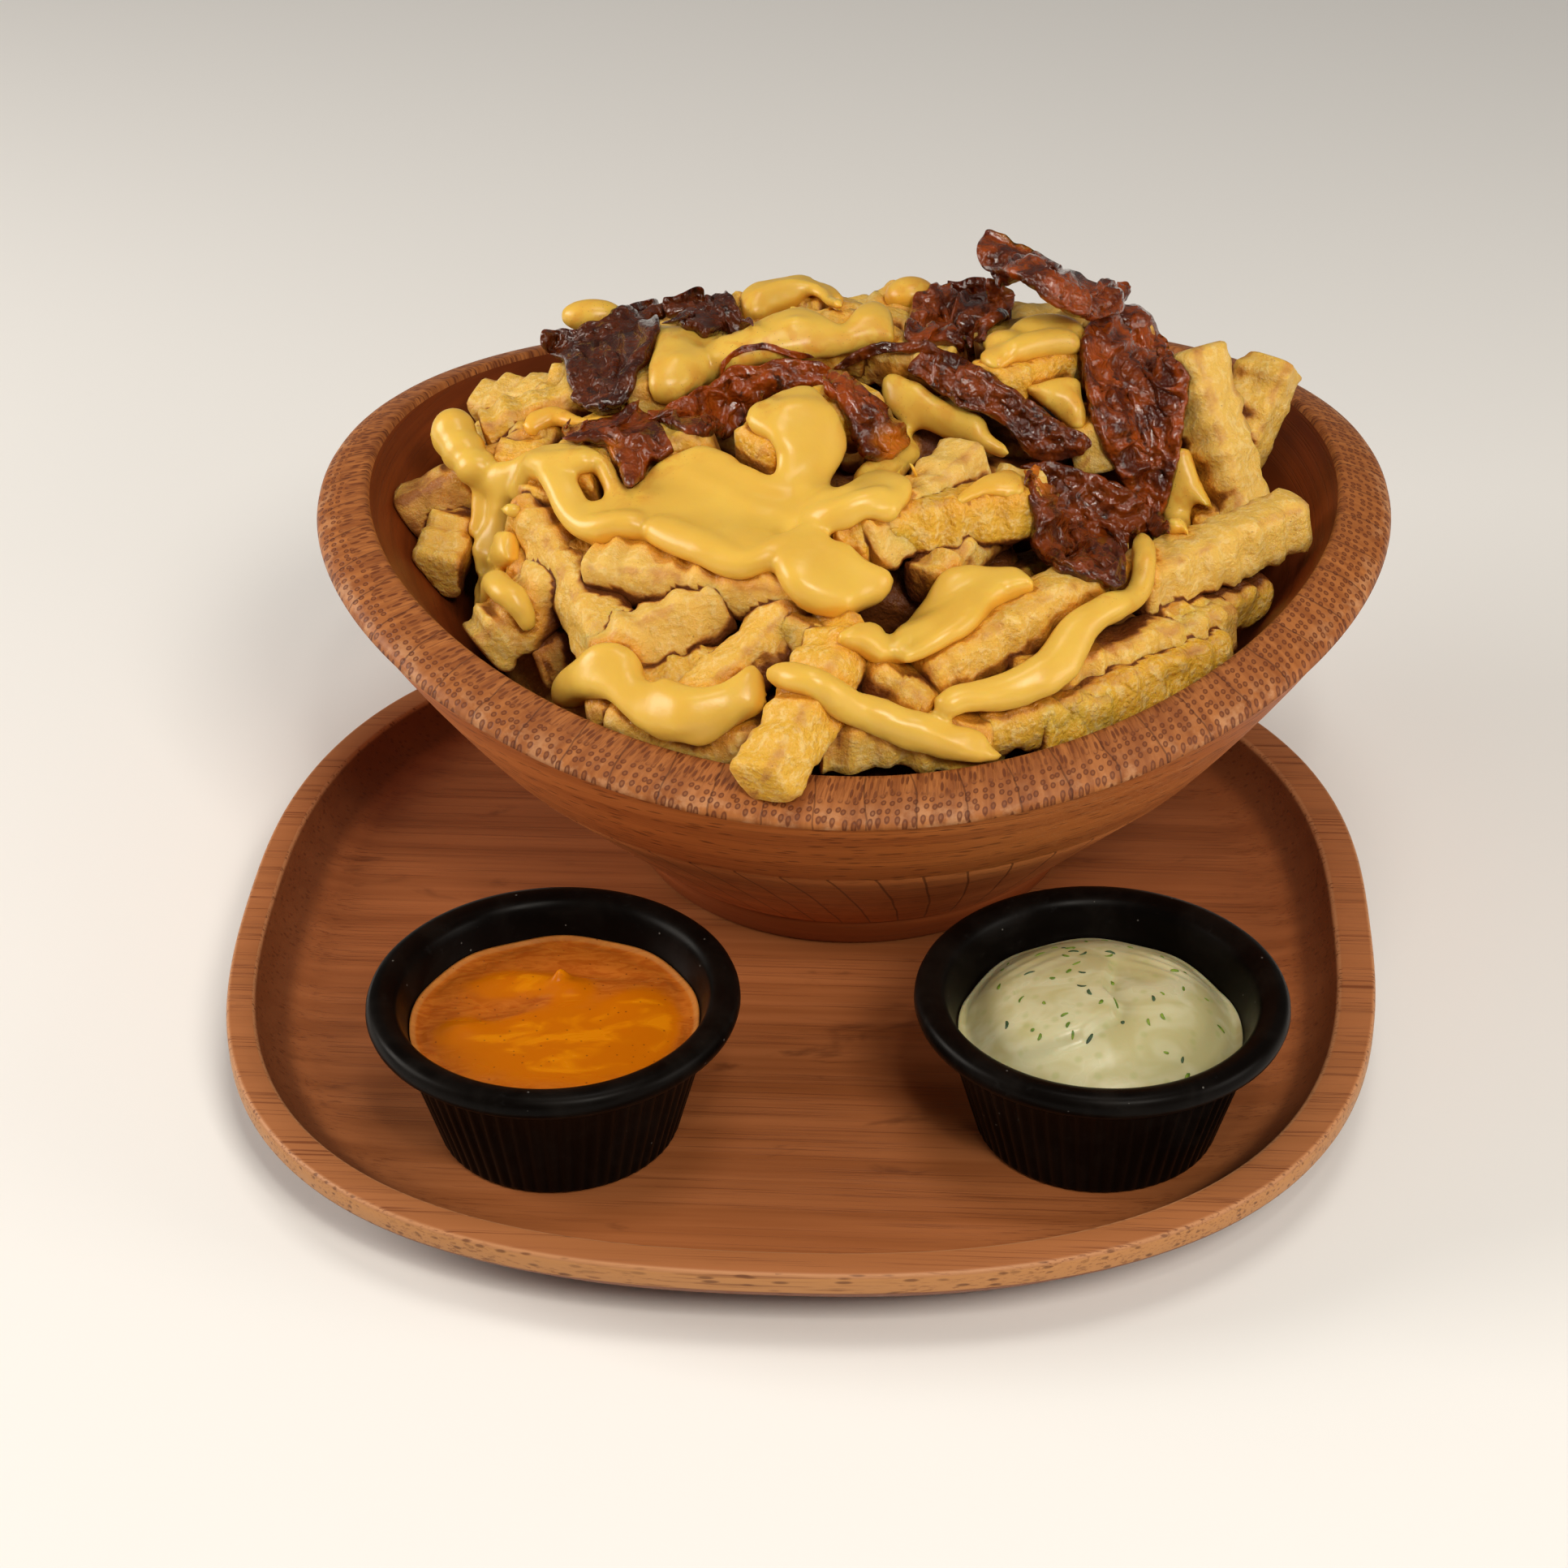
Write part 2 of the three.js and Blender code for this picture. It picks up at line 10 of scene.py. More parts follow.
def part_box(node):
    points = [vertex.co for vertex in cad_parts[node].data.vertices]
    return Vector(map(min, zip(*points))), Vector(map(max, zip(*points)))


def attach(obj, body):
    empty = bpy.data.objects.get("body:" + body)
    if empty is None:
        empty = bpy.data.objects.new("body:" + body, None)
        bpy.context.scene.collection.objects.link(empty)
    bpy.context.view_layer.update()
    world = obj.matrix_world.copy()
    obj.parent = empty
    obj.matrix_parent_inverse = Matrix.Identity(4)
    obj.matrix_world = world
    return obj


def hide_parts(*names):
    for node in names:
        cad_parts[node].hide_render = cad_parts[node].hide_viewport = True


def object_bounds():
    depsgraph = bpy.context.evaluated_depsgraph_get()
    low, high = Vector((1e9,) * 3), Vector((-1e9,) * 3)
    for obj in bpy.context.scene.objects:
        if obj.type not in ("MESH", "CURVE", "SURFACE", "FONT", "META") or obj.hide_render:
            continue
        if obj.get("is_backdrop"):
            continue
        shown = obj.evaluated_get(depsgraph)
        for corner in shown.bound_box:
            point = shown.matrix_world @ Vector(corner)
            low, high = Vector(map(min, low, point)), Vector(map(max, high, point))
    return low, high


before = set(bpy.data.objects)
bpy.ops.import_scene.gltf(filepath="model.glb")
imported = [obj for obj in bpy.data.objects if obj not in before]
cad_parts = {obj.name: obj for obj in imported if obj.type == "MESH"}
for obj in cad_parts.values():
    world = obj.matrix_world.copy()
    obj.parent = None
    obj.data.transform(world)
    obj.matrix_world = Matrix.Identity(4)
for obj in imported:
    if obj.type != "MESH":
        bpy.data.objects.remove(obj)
cad_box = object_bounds()

# Camera
# A long lens about 0.7 m away looks down on the serving at 32 degrees, from the diner's side.
# The fries, sauce and onion further down are placed where this camera sees them.
MM = 0.001
tray_low, tray_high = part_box("tray")
TRAY_MIDDLE = np.array([(tray_low.x + tray_high.x) / 2, (tray_low.y + tray_high.y) / 2, 0.0])
PHOTO_SIZE = 1932
FOCAL_LENGTH_PX = 4000
SENSOR = 36
EYE = np.array([-4.0, -574.0, 409.0])
LOOK_DOWN = math.radians(32.23)
ROLL = math.radians(0.64)


def add_object(name, data):
    made = bpy.data.objects.new(name, data)
    bpy.context.scene.collection.objects.link(made)
    return made


ahead = np.array([0, math.cos(LOOK_DOWN), -math.sin(LOOK_DOWN)])
level = np.array([1.0, 0, 0])
down = np.cross(ahead, level)
across = math.cos(ROLL) * level + math.sin(ROLL) * down
down = math.cos(ROLL) * down - math.sin(ROLL) * level

lens = bpy.data.cameras.new("camera")
lens.sensor_width = SENSOR
lens.lens = FOCAL_LENGTH_PX / PHOTO_SIZE * SENSOR
lens.clip_start = 0.01
camera = add_object("camera", lens)
facing = Matrix((across, -down, -ahead)).transposed().to_4x4()
camera.matrix_world = Matrix.Translation(Vector(EYE * MM + TRAY_MIDDLE)) @ facing
bpy.context.scene.camera = camera


def sight_line(px, py):
    """Direction in which the camera sees a pixel of the photograph."""
    half = PHOTO_SIZE / 2
    line = ahead + (px - half) / FOCAL_LENGTH_PX * across + (py - half) / FOCAL_LENGTH_PX * down
    return line / np.linalg.norm(line, axis=-1, keepdims=True)


# Tray
# Carved from a laminated bamboo slab whose strands run from left to right. Its flat floor rises
# in a hollow wall to a narrow flat rim, over an upright edge and an undercut base.
TRAY = {
    "half": 120,
    "squareness": 2.6,  # the outline is round at 2 and square when very large
    "turn": math.radians(-3.9),
    "floor": 7,
    "rim": 6.5,
    "hollow_x": -1,  # the hollow is a little off the middle, with the narrower rim at the left
    "uneven_to": 25,  # how far in from the edge the hand-shaped outline can be seen
    "strip": 19,  # width of the strips that the slab is glued up from
}
TRAY_PROFILE = [
    # inset from the outer edge, height
    (119, 0), (80, 0), (40, 0), (18, 0), (16, 0.1), (14.4, 0.9), (7.2, 5.6), (1.2, 11.3), (0.35, 12.2),
    (0, 12.9), (0, 15.8), (0.15, 16.5), (0.5, 16.9), (1.0, 17), (5.9, 17), (6.4, 16.85), (6.9, 16.2),
    (7.4, 15.2), (8.4, 13.4), (9.8, 11.5), (11.5, 9.9), (13.4, 8.7), (15.5, 7.9), (18, 7.4), (21, 7.1),
    (24, 7), (50, 7), (85, 7), (119, 7),
]


def skin(rings):
    """Vertices and faces of a closed surface over rings of points, with a fan over each end."""
    rings = np.asarray(rings, float)
    levels, count = rings.shape[:2]
    vertices = np.vstack([rings.reshape(-1, 3), rings[0].mean(0), rings[-1].mean(0)])
    a = np.arange(count)
    b = (a + 1) % count
    last = (levels - 1) * count
    faces = []
    for start in range(0, last, count):
        above = start + count
        faces += zip(start + a, start + b, above + b, above + a)
    faces += [(levels * count, j, i) for i, j in zip(a, b)]
    faces += [(levels * count + 1, last + i, last + j) for i, j in zip(a, b)]
    return vertices, [[int(v) for v in face] for face in faces]


def joined(parts):
    """The vertices and faces of several parts as those of one."""
    starts = np.cumsum([0] + [len(part[0]) for part in parts]).tolist()
    faces = [[v + start for v in face] for start, part in zip(starts, parts) for face in part[1]]
    return np.vstack([part[0] for part in parts]), faces


def round_ring(count, x, y, radius, height):
    """Points round a vertical line at x, y; radius and height may be functions of the angle."""
    angle = np.arange(count) / count * 2 * math.pi
    radius, height = ((of(angle) if callable(of) else of) + 0 * angle for of in (radius, height))
    return np.stack([x + radius * np.cos(angle), y + radius * np.sin(angle), height], 1)


def set_mark(mesh, name, values):
    """Stores a number for each point of a mesh, which its material reads by this name."""
    mark = mesh.attributes.new(name, "FLOAT", "POINT")
    mark.data.foreach_set("value", np.asarray(values, np.float32))


def make_piece(name, parts, materials, cad_node, zones=None, marks=None):
    """One smooth mesh of parts, each vertices and faces, that stands for the solid in a node."""
    vertices, faces = joined(parts)
    mesh = bpy.data.meshes.new(name)
    mesh.from_pydata((vertices * MM + TRAY_MIDDLE).tolist(), [], faces)
    for material in materials:
        mesh.materials.append(material)
    if zones is not None:
        mesh.polygons.foreach_set("material_index", np.asarray(zones, np.int32))
    for mark, values in (marks or {}).items():
        set_mark(mesh, mark, values)
    mesh.shade_smooth()
    piece = add_object(name, mesh)
    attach(piece, "root")
    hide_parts(cad_node)
    return piece


def node(tree, kind, inputs=None, **settings):
    """A shader node, with its inputs set or linked by name or number."""
    made = tree.nodes.new("ShaderNode" + kind)
    for key, value in settings.items():
        setattr(made, key, value)
    for key, value in (inputs or {}).items():
        if isinstance(value, bpy.types.NodeSocket):
            tree.links.new(value, made.inputs[key])
        else:
            made.inputs[key].default_value = value
    return made


def tree_of(*values):
    """The node tree that the first socket among these values belongs to."""
    return next(value.id_data for value in values if isinstance(value, bpy.types.NodeSocket))


def calc(operation, *values):
    return node(tree_of(*values), "Math", dict(enumerate(values)), operation=operation).outputs[0]


def plus(first, second):
    return calc("ADD", first, second)


def minus(first, second):
    return calc("SUBTRACT", first, second)


def times(first, second):
    return calc("MULTIPLY", first, second)


def vector_calc(operation, *values):
    return node(tree_of(*values), "VectorMath", dict(enumerate(values)), operation=operation).outputs[0]


def scaled(vector, factors):
    return vector_calc("MULTIPLY", vector, factors)


def xyz(vector):
    return node(tree_of(vector), "SeparateXYZ", {0: vector}).outputs


def mix(share, first, second):
    return node(tree_of(share), "Mix", {0: share, 6: first, 7: second}, data_type="RGBA").outputs[2]


def painted(base, paint, mask, strength):
    """A colour with another laid over it where a mask says, at most this strongly."""
    return mix(times(mask, strength), base, paint)


def step(value, low, high, top=1.0):
    """0 below low, top above high, and smooth between; low may be the higher one."""
    if low > high:
        return minus(top, step(value, high, low, top))
    inputs = {0: value, 1: low, 2: high, 4: top}
    return node(tree_of(value), "MapRange", inputs, interpolation_type="SMOOTHSTEP").outputs[0]


def cloud(vector, scale, detail=2.0, roughness=0.5, distortion=0.0):
    """Noise of about 0 to 1 that changes over 1 / scale."""
    inputs = {"Vector": vector, "Scale": scale, "Detail": detail}
    inputs |= {"Roughness": roughness, "Distortion": distortion}
    return node(tree_of(vector), "TexNoise", inputs).outputs[0]


def cells(vector, scale, jitter=1.0, dimensions="3D"):
    """Distance from the nearest of many scattered points, and a colour of its own for each."""
    inputs = {"Vector": vector, "Scale": scale, "Randomness": jitter}
    return node(tree_of(vector), "TexVoronoi", inputs, voronoi_dimensions=dimensions).outputs[:2]


def specks(vector, scale, edge, chosen, jitter=1.0, dimensions="3D"):
    """Scattered specks: where their edge fades, and which of them show by their own colour."""
    distance, tint = cells(vector, scale, jitter, dimensions)
    return times(step(distance, *edge), step(tint, *chosen))


def own_of_each(value):
    """A random number for each whole number that a value passes."""
    whole = calc("FLOOR", value)
    return node(tree_of(value), "TexWhiteNoise", {"W": whole}, noise_dimensions="1D").outputs[0]


def colour(red, green, blue):
    return (red, green, blue, 1.0)


def new_material(name, **sockets):
    """A material and its shader; a value given here is the same all over the surface."""
    material = bpy.data.materials.new(name)
    material.use_nodes = True
    shader = material.node_tree.nodes["Principled BSDF"]
    for key, value in sockets.items():
        shader.inputs[key.replace("_", " ")].default_value = value
    return material, material.node_tree, shader


def dress(shader, base, roughness=None, height=None, strength=0.5, distance=0.3):
    """Links colour, roughness and a bump whose full height is distance, in millimetres."""
    tree = shader.id_data
    tree.links.new(base, shader.inputs["Base Color"])
    if roughness is not None:
        tree.links.new(roughness, shader.inputs["Roughness"])
    if height is not None:
        bump = node(tree, "Bump", {"Height": height, "Strength": strength, "Distance": distance * MM})
        tree.links.new(bump.outputs[0], shader.inputs["Normal"])


def in_mm(tree, x=0.0, y=0.0, z=0.0):
    """Position in millimetres from a point given from the middle of the tray."""
    here = node(tree, "TexCoord").outputs["Object"]
    middle = Vector(TRAY_MIDDLE) + Vector((x, y, z)) * MM
    return scaled(vector_calc("SUBTRACT", here, middle), (1 / MM,) * 3)


def strand_grain():
    """Group: bamboo strands that run along X of a position in millimetres."""
    tree = bpy.data.node_groups.new("strand_grain", "ShaderNodeTree")
    tree.interface.new_socket("Position", in_out="INPUT", socket_type="NodeSocketVector")
    for name in ("Streaks", "Pores", "Tone"):
        tree.interface.new_socket(name, in_out="OUTPUT", socket_type="NodeSocketFloat")
    position = tree.nodes.new("NodeGroupInput").outputs[0]
    stretched = lambda along, wide: scaled(position, (1 / along, 1 / wide, 1 / wide))
    fine = cloud(stretched(44, 0.42), 1, 3, 0.6)
    some = cloud(stretched(60, 5), 1, 1)
    streaks = times(step(fine, 0.53, 0.63), step(some, 0.3, 0.58))
    pores = specks(stretched(6, 1.25), 1, (0.36, 0.16), (0.1, 0.5), 0.9)
    tone = cloud(stretched(150, 6), 1, 4, 0.6)
    out = tree.nodes.new("NodeGroupOutput")
    for name, value in (("Streaks", streaks), ("Pores", pores), ("Tone", tone)):
        tree.links.new(value, out.inputs[name])
    return tree


STRAND_GRAIN = strand_grain()


def grain(position):
    """Streaks, pores and tone of the strands at a position."""
    return node(tree_of(position), "Group", {"Position": position}, node_tree=STRAND_GRAIN).outputs


def tray_bamboo():
    material, tree, shader = new_material("tray_bamboo", IOR=1.45, Specular_IOR_Level=0.35)
    turn = {"Vector": in_mm(tree), "Angle": -TRAY["turn"]}
    turned = node(tree, "VectorRotate", turn, rotation_type="Z_AXIS").outputs[0]
    streaks, pores, tone = grain(turned)
    _, across_grain, height = xyz(turned)
    face_x, _, face_up = xyz(node(tree, "NewGeometry").outputs["Normal"])
    own = own_of_each(times(across_grain, 1 / TRAY["strip"]))
    # Bamboo joints cross the strands here and there as darker smoky patches.
    knuckle = cloud(scaled(turned, (1 / 26, 1 / 11, 1 / 11)), 1, 4, 0.6, 0.6)
    base = mix(step(tone, 0.3, 0.7), colour(0.3, 0.092, 0.026), colour(0.42, 0.142, 0.045))
    base = painted(base, colour(0.24, 0.07, 0.019), own, 0.35)
    base = mix(step(knuckle, 0.6, 0.74, 0.55), base, colour(0.1, 0.026, 0.008))
    # The hollow wall is darker, partly because it cuts through the strands and partly as painted shade, most
    # at its left and right ends, where it cuts them endwise.
    slope = times(step(face_up, 0.99, 0.8), step(height, 16.8, 16.0))
    endwise = times(slope, step(calc("ABSOLUTE", face_x), 0.05, 0.5))
    base = painted(base, colour(0.13, 0.042, 0.015), slope, 0.5)
    base = painted(base, colour(0.12, 0.034, 0.01), endwise, 0.55)
    on_rim = step(height, 16.3, 16.85)
    base = painted(base, colour(0.38, 0.145, 0.05), on_rim, 0.6)
    upright = times(step(face_up, 0.5, 0.2), step(face_up, -0.5, -0.2))
    edge = times(upright, step(height, 11.8, 12.6))
    base = painted(base, colour(0.65, 0.31, 0.105), edge, 0.6)
    # Painted highlight: a pale line along the rounded edges of the rim.
    arris_highlight = times(step(height, 15.9, 16.6), step(height, 16.99, 16.85, 0.4))
    base = mix(arris_highlight, base, colour(0.68, 0.36, 0.17))
    lined = times(streaks, plus(times(on_rim, 0.25), 0.5))
    base = mix(lined, base, colour(0.15, 0.034, 0.008))
    cut_pores = times(pores, step(face_up, 0.97, 0.75))
    base = painted(base, colour(0.09, 0.022, 0.006), cut_pores, 0.65)
    rough = plus(times(tone, 0.2), 0.4)
    relief = times(plus(streaks, cut_pores), -1.0)
    dress(shader, base, rough, relief, 0.4, 0.12)
    return material


def tray():
    uneven = lambda angle: 0.35 * np.sin(3 * angle + 1) + 0.2 * np.sin(7 * angle)

    def ring(inset, z):
        def radius(angle):
            a = angle - TRAY["turn"]
            power = TRAY["squareness"]
            even = (np.abs(np.cos(a)) ** power + np.abs(np.sin(a)) ** power) ** (-1 / power)
            return (TRAY["half"] - inset) * even + uneven(angle) * max(0, 1 - inset / TRAY["uneven_to"])

        in_hollow = np.clip(inset / TRAY["rim"] * 3 - 2, 0, 1) if z >= TRAY["floor"] else 0
        return round_ring(288, TRAY["hollow_x"] * in_hollow, 0, radius, z)

    board = skin([ring(*place) for place in TRAY_PROFILE])
    make_piece("tray_board", [board], [tray_bamboo()], "tray")


tray()

# Bowl
# Glued up from bamboo in three bands: a foot ring, a band of slanted staves and a tall upper wall,
# then turned, with a rim that rises in a wave to both sides and slopes down outwards.
BOWL = {
    "x": 11.4,
    "y": 46.6,
    "base": 7.3,
    "foot": 48.5,  # radius
    "flare": 3.7,
    "foot_height": 8,
    "knee": 85,  # radius where the band meets the upper wall
    "knee_height": 41,
    "slope": 0.8,  # of the upper wall, outwards, and how that changes with height
    "curve": -0.003,
    "rim_height": 77.4,
    "wave": 7.6,
    "lean": 4.5,  # how much higher the rim is at the back than in the middle
    "rim_width": 11.5,
    "rim_rise": 4.7,
    "inner_floor": 13,
    "inner_floor_radius": 38,
}
RIM_FACE = [
    # inset from the rim's outer edge, and height over it
    (0.15, -1.0), (0.45, 0.05), (1.1, 0.95), (2.2, 1.75), (3.6, 2.5), (5.6, 3.3), (7.8, 4.05), (9.6, 4.55),
    (10.6, 4.7), (11.2, 4.35), (11.6, 3.5),
]
STAVES = 56
RIM_STAVES = 64
STAVE_LEAN = 0.036  # staves that the joints shift by for each millimetre of height
HOOP_RADIUS = 95.0  # where a millimetre of grain along the hoop is a true one
KNEE_Z = BOWL["base"] + BOWL["knee_height"]
WAIST_Z = BOWL["base"] + BOWL["foot_height"]


def rim_z(angle):
    """Height of the rim's outer edge at an angle round the bowl."""
    level_rim = BOWL["base"] + BOWL["rim_height"]
    return level_rim + BOWL["wave"] * np.cos(2 * angle) + BOWL["lean"] * np.sin(angle)


def outer_radius(z):
    """Radius of the outer wall at a height above the foot."""
    waist = BOWL["foot"] + BOWL["flare"]
    lower = waist + (z - WAIST_Z) / (KNEE_Z - WAIST_Z) * (BOWL["knee"] - waist)
    rise = z - KNEE_Z
    return np.where(rise > 0, BOWL["knee"] + BOWL["slope"] * rise + BOWL["curve"] * rise * rise, lower)


def inner_radius(z):
    return outer_radius(z - BOWL["rim_rise"]) - BOWL["rim_width"]


def round_place():
    """Group: how far round, out and up a point of the bowl is, in staves and millimetres."""
    tree = bpy.data.node_groups.new("round_place", "ShaderNodeTree")
    for name, kind in (("Round", "Float"), ("Out", "Float"), ("Up", "Float"), ("Hoopwise", "Vector")):
        tree.interface.new_socket(name, in_out="OUTPUT", socket_type="NodeSocket" + kind)
    x, y, up = xyz(in_mm(tree, BOWL["x"], BOWL["y"]))
    angle = calc("ARCTAN2", x, times(y, -1.0))
    out = calc("SQRT", plus(calc("POWER", x, 2.0), calc("POWER", y, 2.0)))
    hoop = {0: times(angle, HOOP_RADIUS), 1: out, 2: up}
    result = tree.nodes.new("NodeGroupOutput")
    tree.links.new(times(angle, STAVES / (2 * math.pi)), result.inputs["Round"])
    tree.links.new(out, result.inputs["Out"])
    tree.links.new(up, result.inputs["Up"])
    tree.links.new(node(tree, "CombineXYZ", hoop).outputs[0], result.inputs["Hoopwise"])
    return tree


ROUND_PLACE = round_place()


def bowl_bamboo(name, light, dark, lean=0.0, joint=0.0, dashes=0.0, strands=1.0, scuffs_and_sheen=0.0):
    """Bamboo of one band: staves that lean, joints between them, and cut strands as short dashes."""
    material, tree, shader = new_material(name, IOR=1.45, Specular_IOR_Level=0.3)
    place = node(tree, "Group", node_tree=ROUND_PLACE).outputs
    hoopwise = place["Hoopwise"]
    streaks, pores, tone = grain(hoopwise)
    bend = times(minus(cloud(hoopwise, 0.09, 1), 0.5), 0.12)
    stave = plus(plus(place["Round"], times(place["Up"], lean)), bend)
    share = calc("FRACT", stave)
    own = own_of_each(stave)
    base = mix(step(tone, 0.32, 0.7), dark, light)
    base = painted(base, dark, own, 0.3 if joint else 0.0)
    base = painted(base, colour(0.12, 0.028, 0.006), streaks, 0.45 * strands)
    marks = times(pores, dashes)
    base = mix(marks, base, colour(0.12, 0.028, 0.007))
    height = minus(times(streaks, -0.6), marks)
    if scuffs_and_sheen:
        # Paler and rougher, mostly on its right: partly wear where the bowl is handled, partly painted light
        # and sheen for its brighter right side.
        side = step(xyz(hoopwise)[0], 5.0, 60.0)
        ripple = cloud(scaled(hoopwise, (0.5, 0.9, 0.9)), 1, 4, 0.75, 1.2)
        wear_and_sheen = times(step(ripple, 0.52, 0.64), times(side, scuffs_and_sheen))
        base = mix(wear_and_sheen, base, colour(0.5, 0.22, 0.085))
        height = minus(height, wear_and_sheen)
    if joint:
        line = times(step(calc("ABSOLUTE", minus(share, 0.5)), 0.455, 0.485), joint)
        base = mix(line, base, colour(0.03, 0.008, 0.003))
        height = minus(height, line)
    rough = plus(times(cloud(hoopwise, 0.06), 0.22), 0.38)
    dress(shader, base, rough, height, 0.5, 0.15)
    return material


def rim_bamboo():
    """The rim's face, where the strands are dashes along its inner part and cut to dots further out."""
    material, tree, shader = new_material("bowl_rim_bamboo", IOR=1.45, Specular_IOR_Level=0.3)
    place = node(tree, "Group", node_tree=ROUND_PLACE).outputs
    hoopwise = place["Hoopwise"]
    arc, out, _ = xyz(hoopwise)
    bend = times(minus(cloud(hoopwise, 0.12, 2), 0.5), 0.2)
    stave = plus(times(place["Round"], RIM_STAVES / STAVES), bend)
    share = calc("ABSOLUTE", minus(calc("FRACT", stave), 0.5))
    own = own_of_each(stave)
    # The rim's outer edge, seen from above, is 110 mm out on average, and further out where it is high.
    angle = times(place["Round"], 2 * math.pi / STAVES)
    wave = times(calc("COSINE", times(angle, 2.0)), -4.4)
    edge = plus(plus(wave, times(calc("COSINE", angle), -2.6)), 110.0)
    inset = minus(edge, out)
    # Dots take the outer third of the rim on the left and most of it on the right.
    patch = plus(cloud(hoopwise, 0.15, 2), times(own, 0.6))
    reach = plus(times(patch, 3.0), step(arc, 10.0, 110.0, 4.6))
    cut = step(minus(minus(inset, 3.4), reach), 0.9, -0.9)
    along = plus(arc, times(out, 0.2))

    def spokewise(long, wide):
        return node(tree, "CombineXYZ", {0: times(out, 1 / long), 1: times(along, 1 / wide)}).outputs[0]

    dash = specks(spokewise(3.2, 0.95), 1, (0.42, 0.24), (0.2, 0.6), 0.8, "2D")
    hair = step(cloud(spokewise(7, 0.5), 1, 3, 0.6), 0.5, 0.62)
    lines = calc("MAXIMUM", dash, times(hair, 0.6))
    dots, _ = cells(spokewise(1.75, 1.6), 1, 0.5, "2D")
    dot = minus(step(dots, 0.36, 0.26), step(dots, 0.2, 0.1, 0.45))
    tone = cloud(spokewise(18, 2.2), 1, 3, 0.6)
    base = mix(step(tone, 0.34, 0.68), colour(0.27, 0.08, 0.018), colour(0.43, 0.15, 0.038))
    base = painted(base, colour(0.24, 0.07, 0.018), own, 0.25)
    pale = times(step(cloud(hoopwise, 0.22, 4, 0.65), 0.45, 0.68), step(inset, 5.5, 0.8, 0.6))
    base = mix(pale, base, colour(0.56, 0.29, 0.14))
    marks = mix(cut, lines, dot)
    base = painted(base, colour(0.12, 0.027, 0.007), marks, 0.85)
    line = step(share, 0.474, 0.493, 0.6)
    base = mix(line, base, colour(0.06, 0.015, 0.005))
    height = minus(times(marks, -1.0), line)
    rough = plus(times(cloud(hoopwise, 0.06), 0.2), 0.4)
    dress(shader, base, rough, height, 0.5, 0.15)
    return material


def bowl():
    count = 320
    base, waist = BOWL["base"], BOWL["foot"] + BOWL["flare"]
    rings = []
    zones = []

    def add(zone, radius, height):
        rings.append(round_ring(count, BOWL["x"], BOWL["y"], radius, height))
        zones.append(zone)

    foot, band, wall, rim, inside = range(5)
    # Underneath, the foot is a ring round a shallow hollow.
    for radius in (1, 20, 36):
        add(foot, radius, base + 1.6)
    add(foot, 38, base)
    add(foot, BOWL["foot"] - 0.8, base)
    add(foot, BOWL["foot"], base + 0.7)
    add(foot, waist - 0.3, WAIST_Z - 0.6)
    add(foot, waist - 0.5, WAIST_Z - 0.1)
    add(band, waist + 0.2, WAIST_Z + 0.4)
    for share in (0.25, 0.5, 0.75, 0.985):
        z = WAIST_Z + share * (KNEE_Z - WAIST_Z)
        add(band, float(outer_radius(z)), z)
    add(band, BOWL["knee"] - 0.45, KNEE_Z - 0.1)
    for share in (0.02, 0.12, 0.25, 0.4, 0.55, 0.7, 0.82, 0.9, 0.95):
        z_at = lambda a: KNEE_Z + share * (rim_z(a) - KNEE_Z)
        add(wall, lambda a: outer_radius(z_at(a)), z_at)
    for inset, lift in RIM_FACE:
        add(rim, lambda a: outer_radius(rim_z(a)) - inset, lambda a: rim_z(a) + lift)
    floor = base + BOWL["inner_floor"]
    low = floor + 6
    for share in (0.93, 0.82, 0.68, 0.5, 0.3, 0.12, 0):
        z_at = lambda a: low + share * (rim_z(a) + BOWL["rim_rise"] - low)
        add(inside, lambda a: inner_radius(z_at(a)), z_at)
    add(inside, BOWL["inner_floor_radius"], floor + 0.8)
    for radius in (BOWL["inner_floor_radius"] - 8, 12, 1):
        add(inside, radius, floor)
    per_face = np.repeat(zones[1:], count).tolist() + [foot] * count + [inside] * count
    band_look = {"lean": STAVE_LEAN, "joint": 0.6, "dashes": 0.4, "scuffs_and_sheen": 0.3}
    wall_look = {"dashes": 0.7, "scuffs_and_sheen": 0.5}
    materials = [
        bowl_bamboo("bowl_foot_bamboo", colour(0.3, 0.075, 0.016), colour(0.2, 0.042, 0.008), strands=0.6),
        bowl_bamboo("bowl_band_bamboo", colour(0.62, 0.21, 0.06), colour(0.45, 0.14, 0.037), **band_look),
        bowl_bamboo("bowl_wall_bamboo", colour(0.56, 0.175, 0.04), colour(0.4, 0.11, 0.024), **wall_look),
        rim_bamboo(),
        # The inside is coloured far darker than the outside: partly oil stain, partly painted shade.
        bowl_bamboo("bowl_inside_bamboo", colour(0.2, 0.037, 0.004), colour(0.12, 0.02, 0.002), dashes=0.12),
    ]
    make_piece("serving_bowl", [skin(rings)], materials, "bowl", zones=per_face)


bowl()

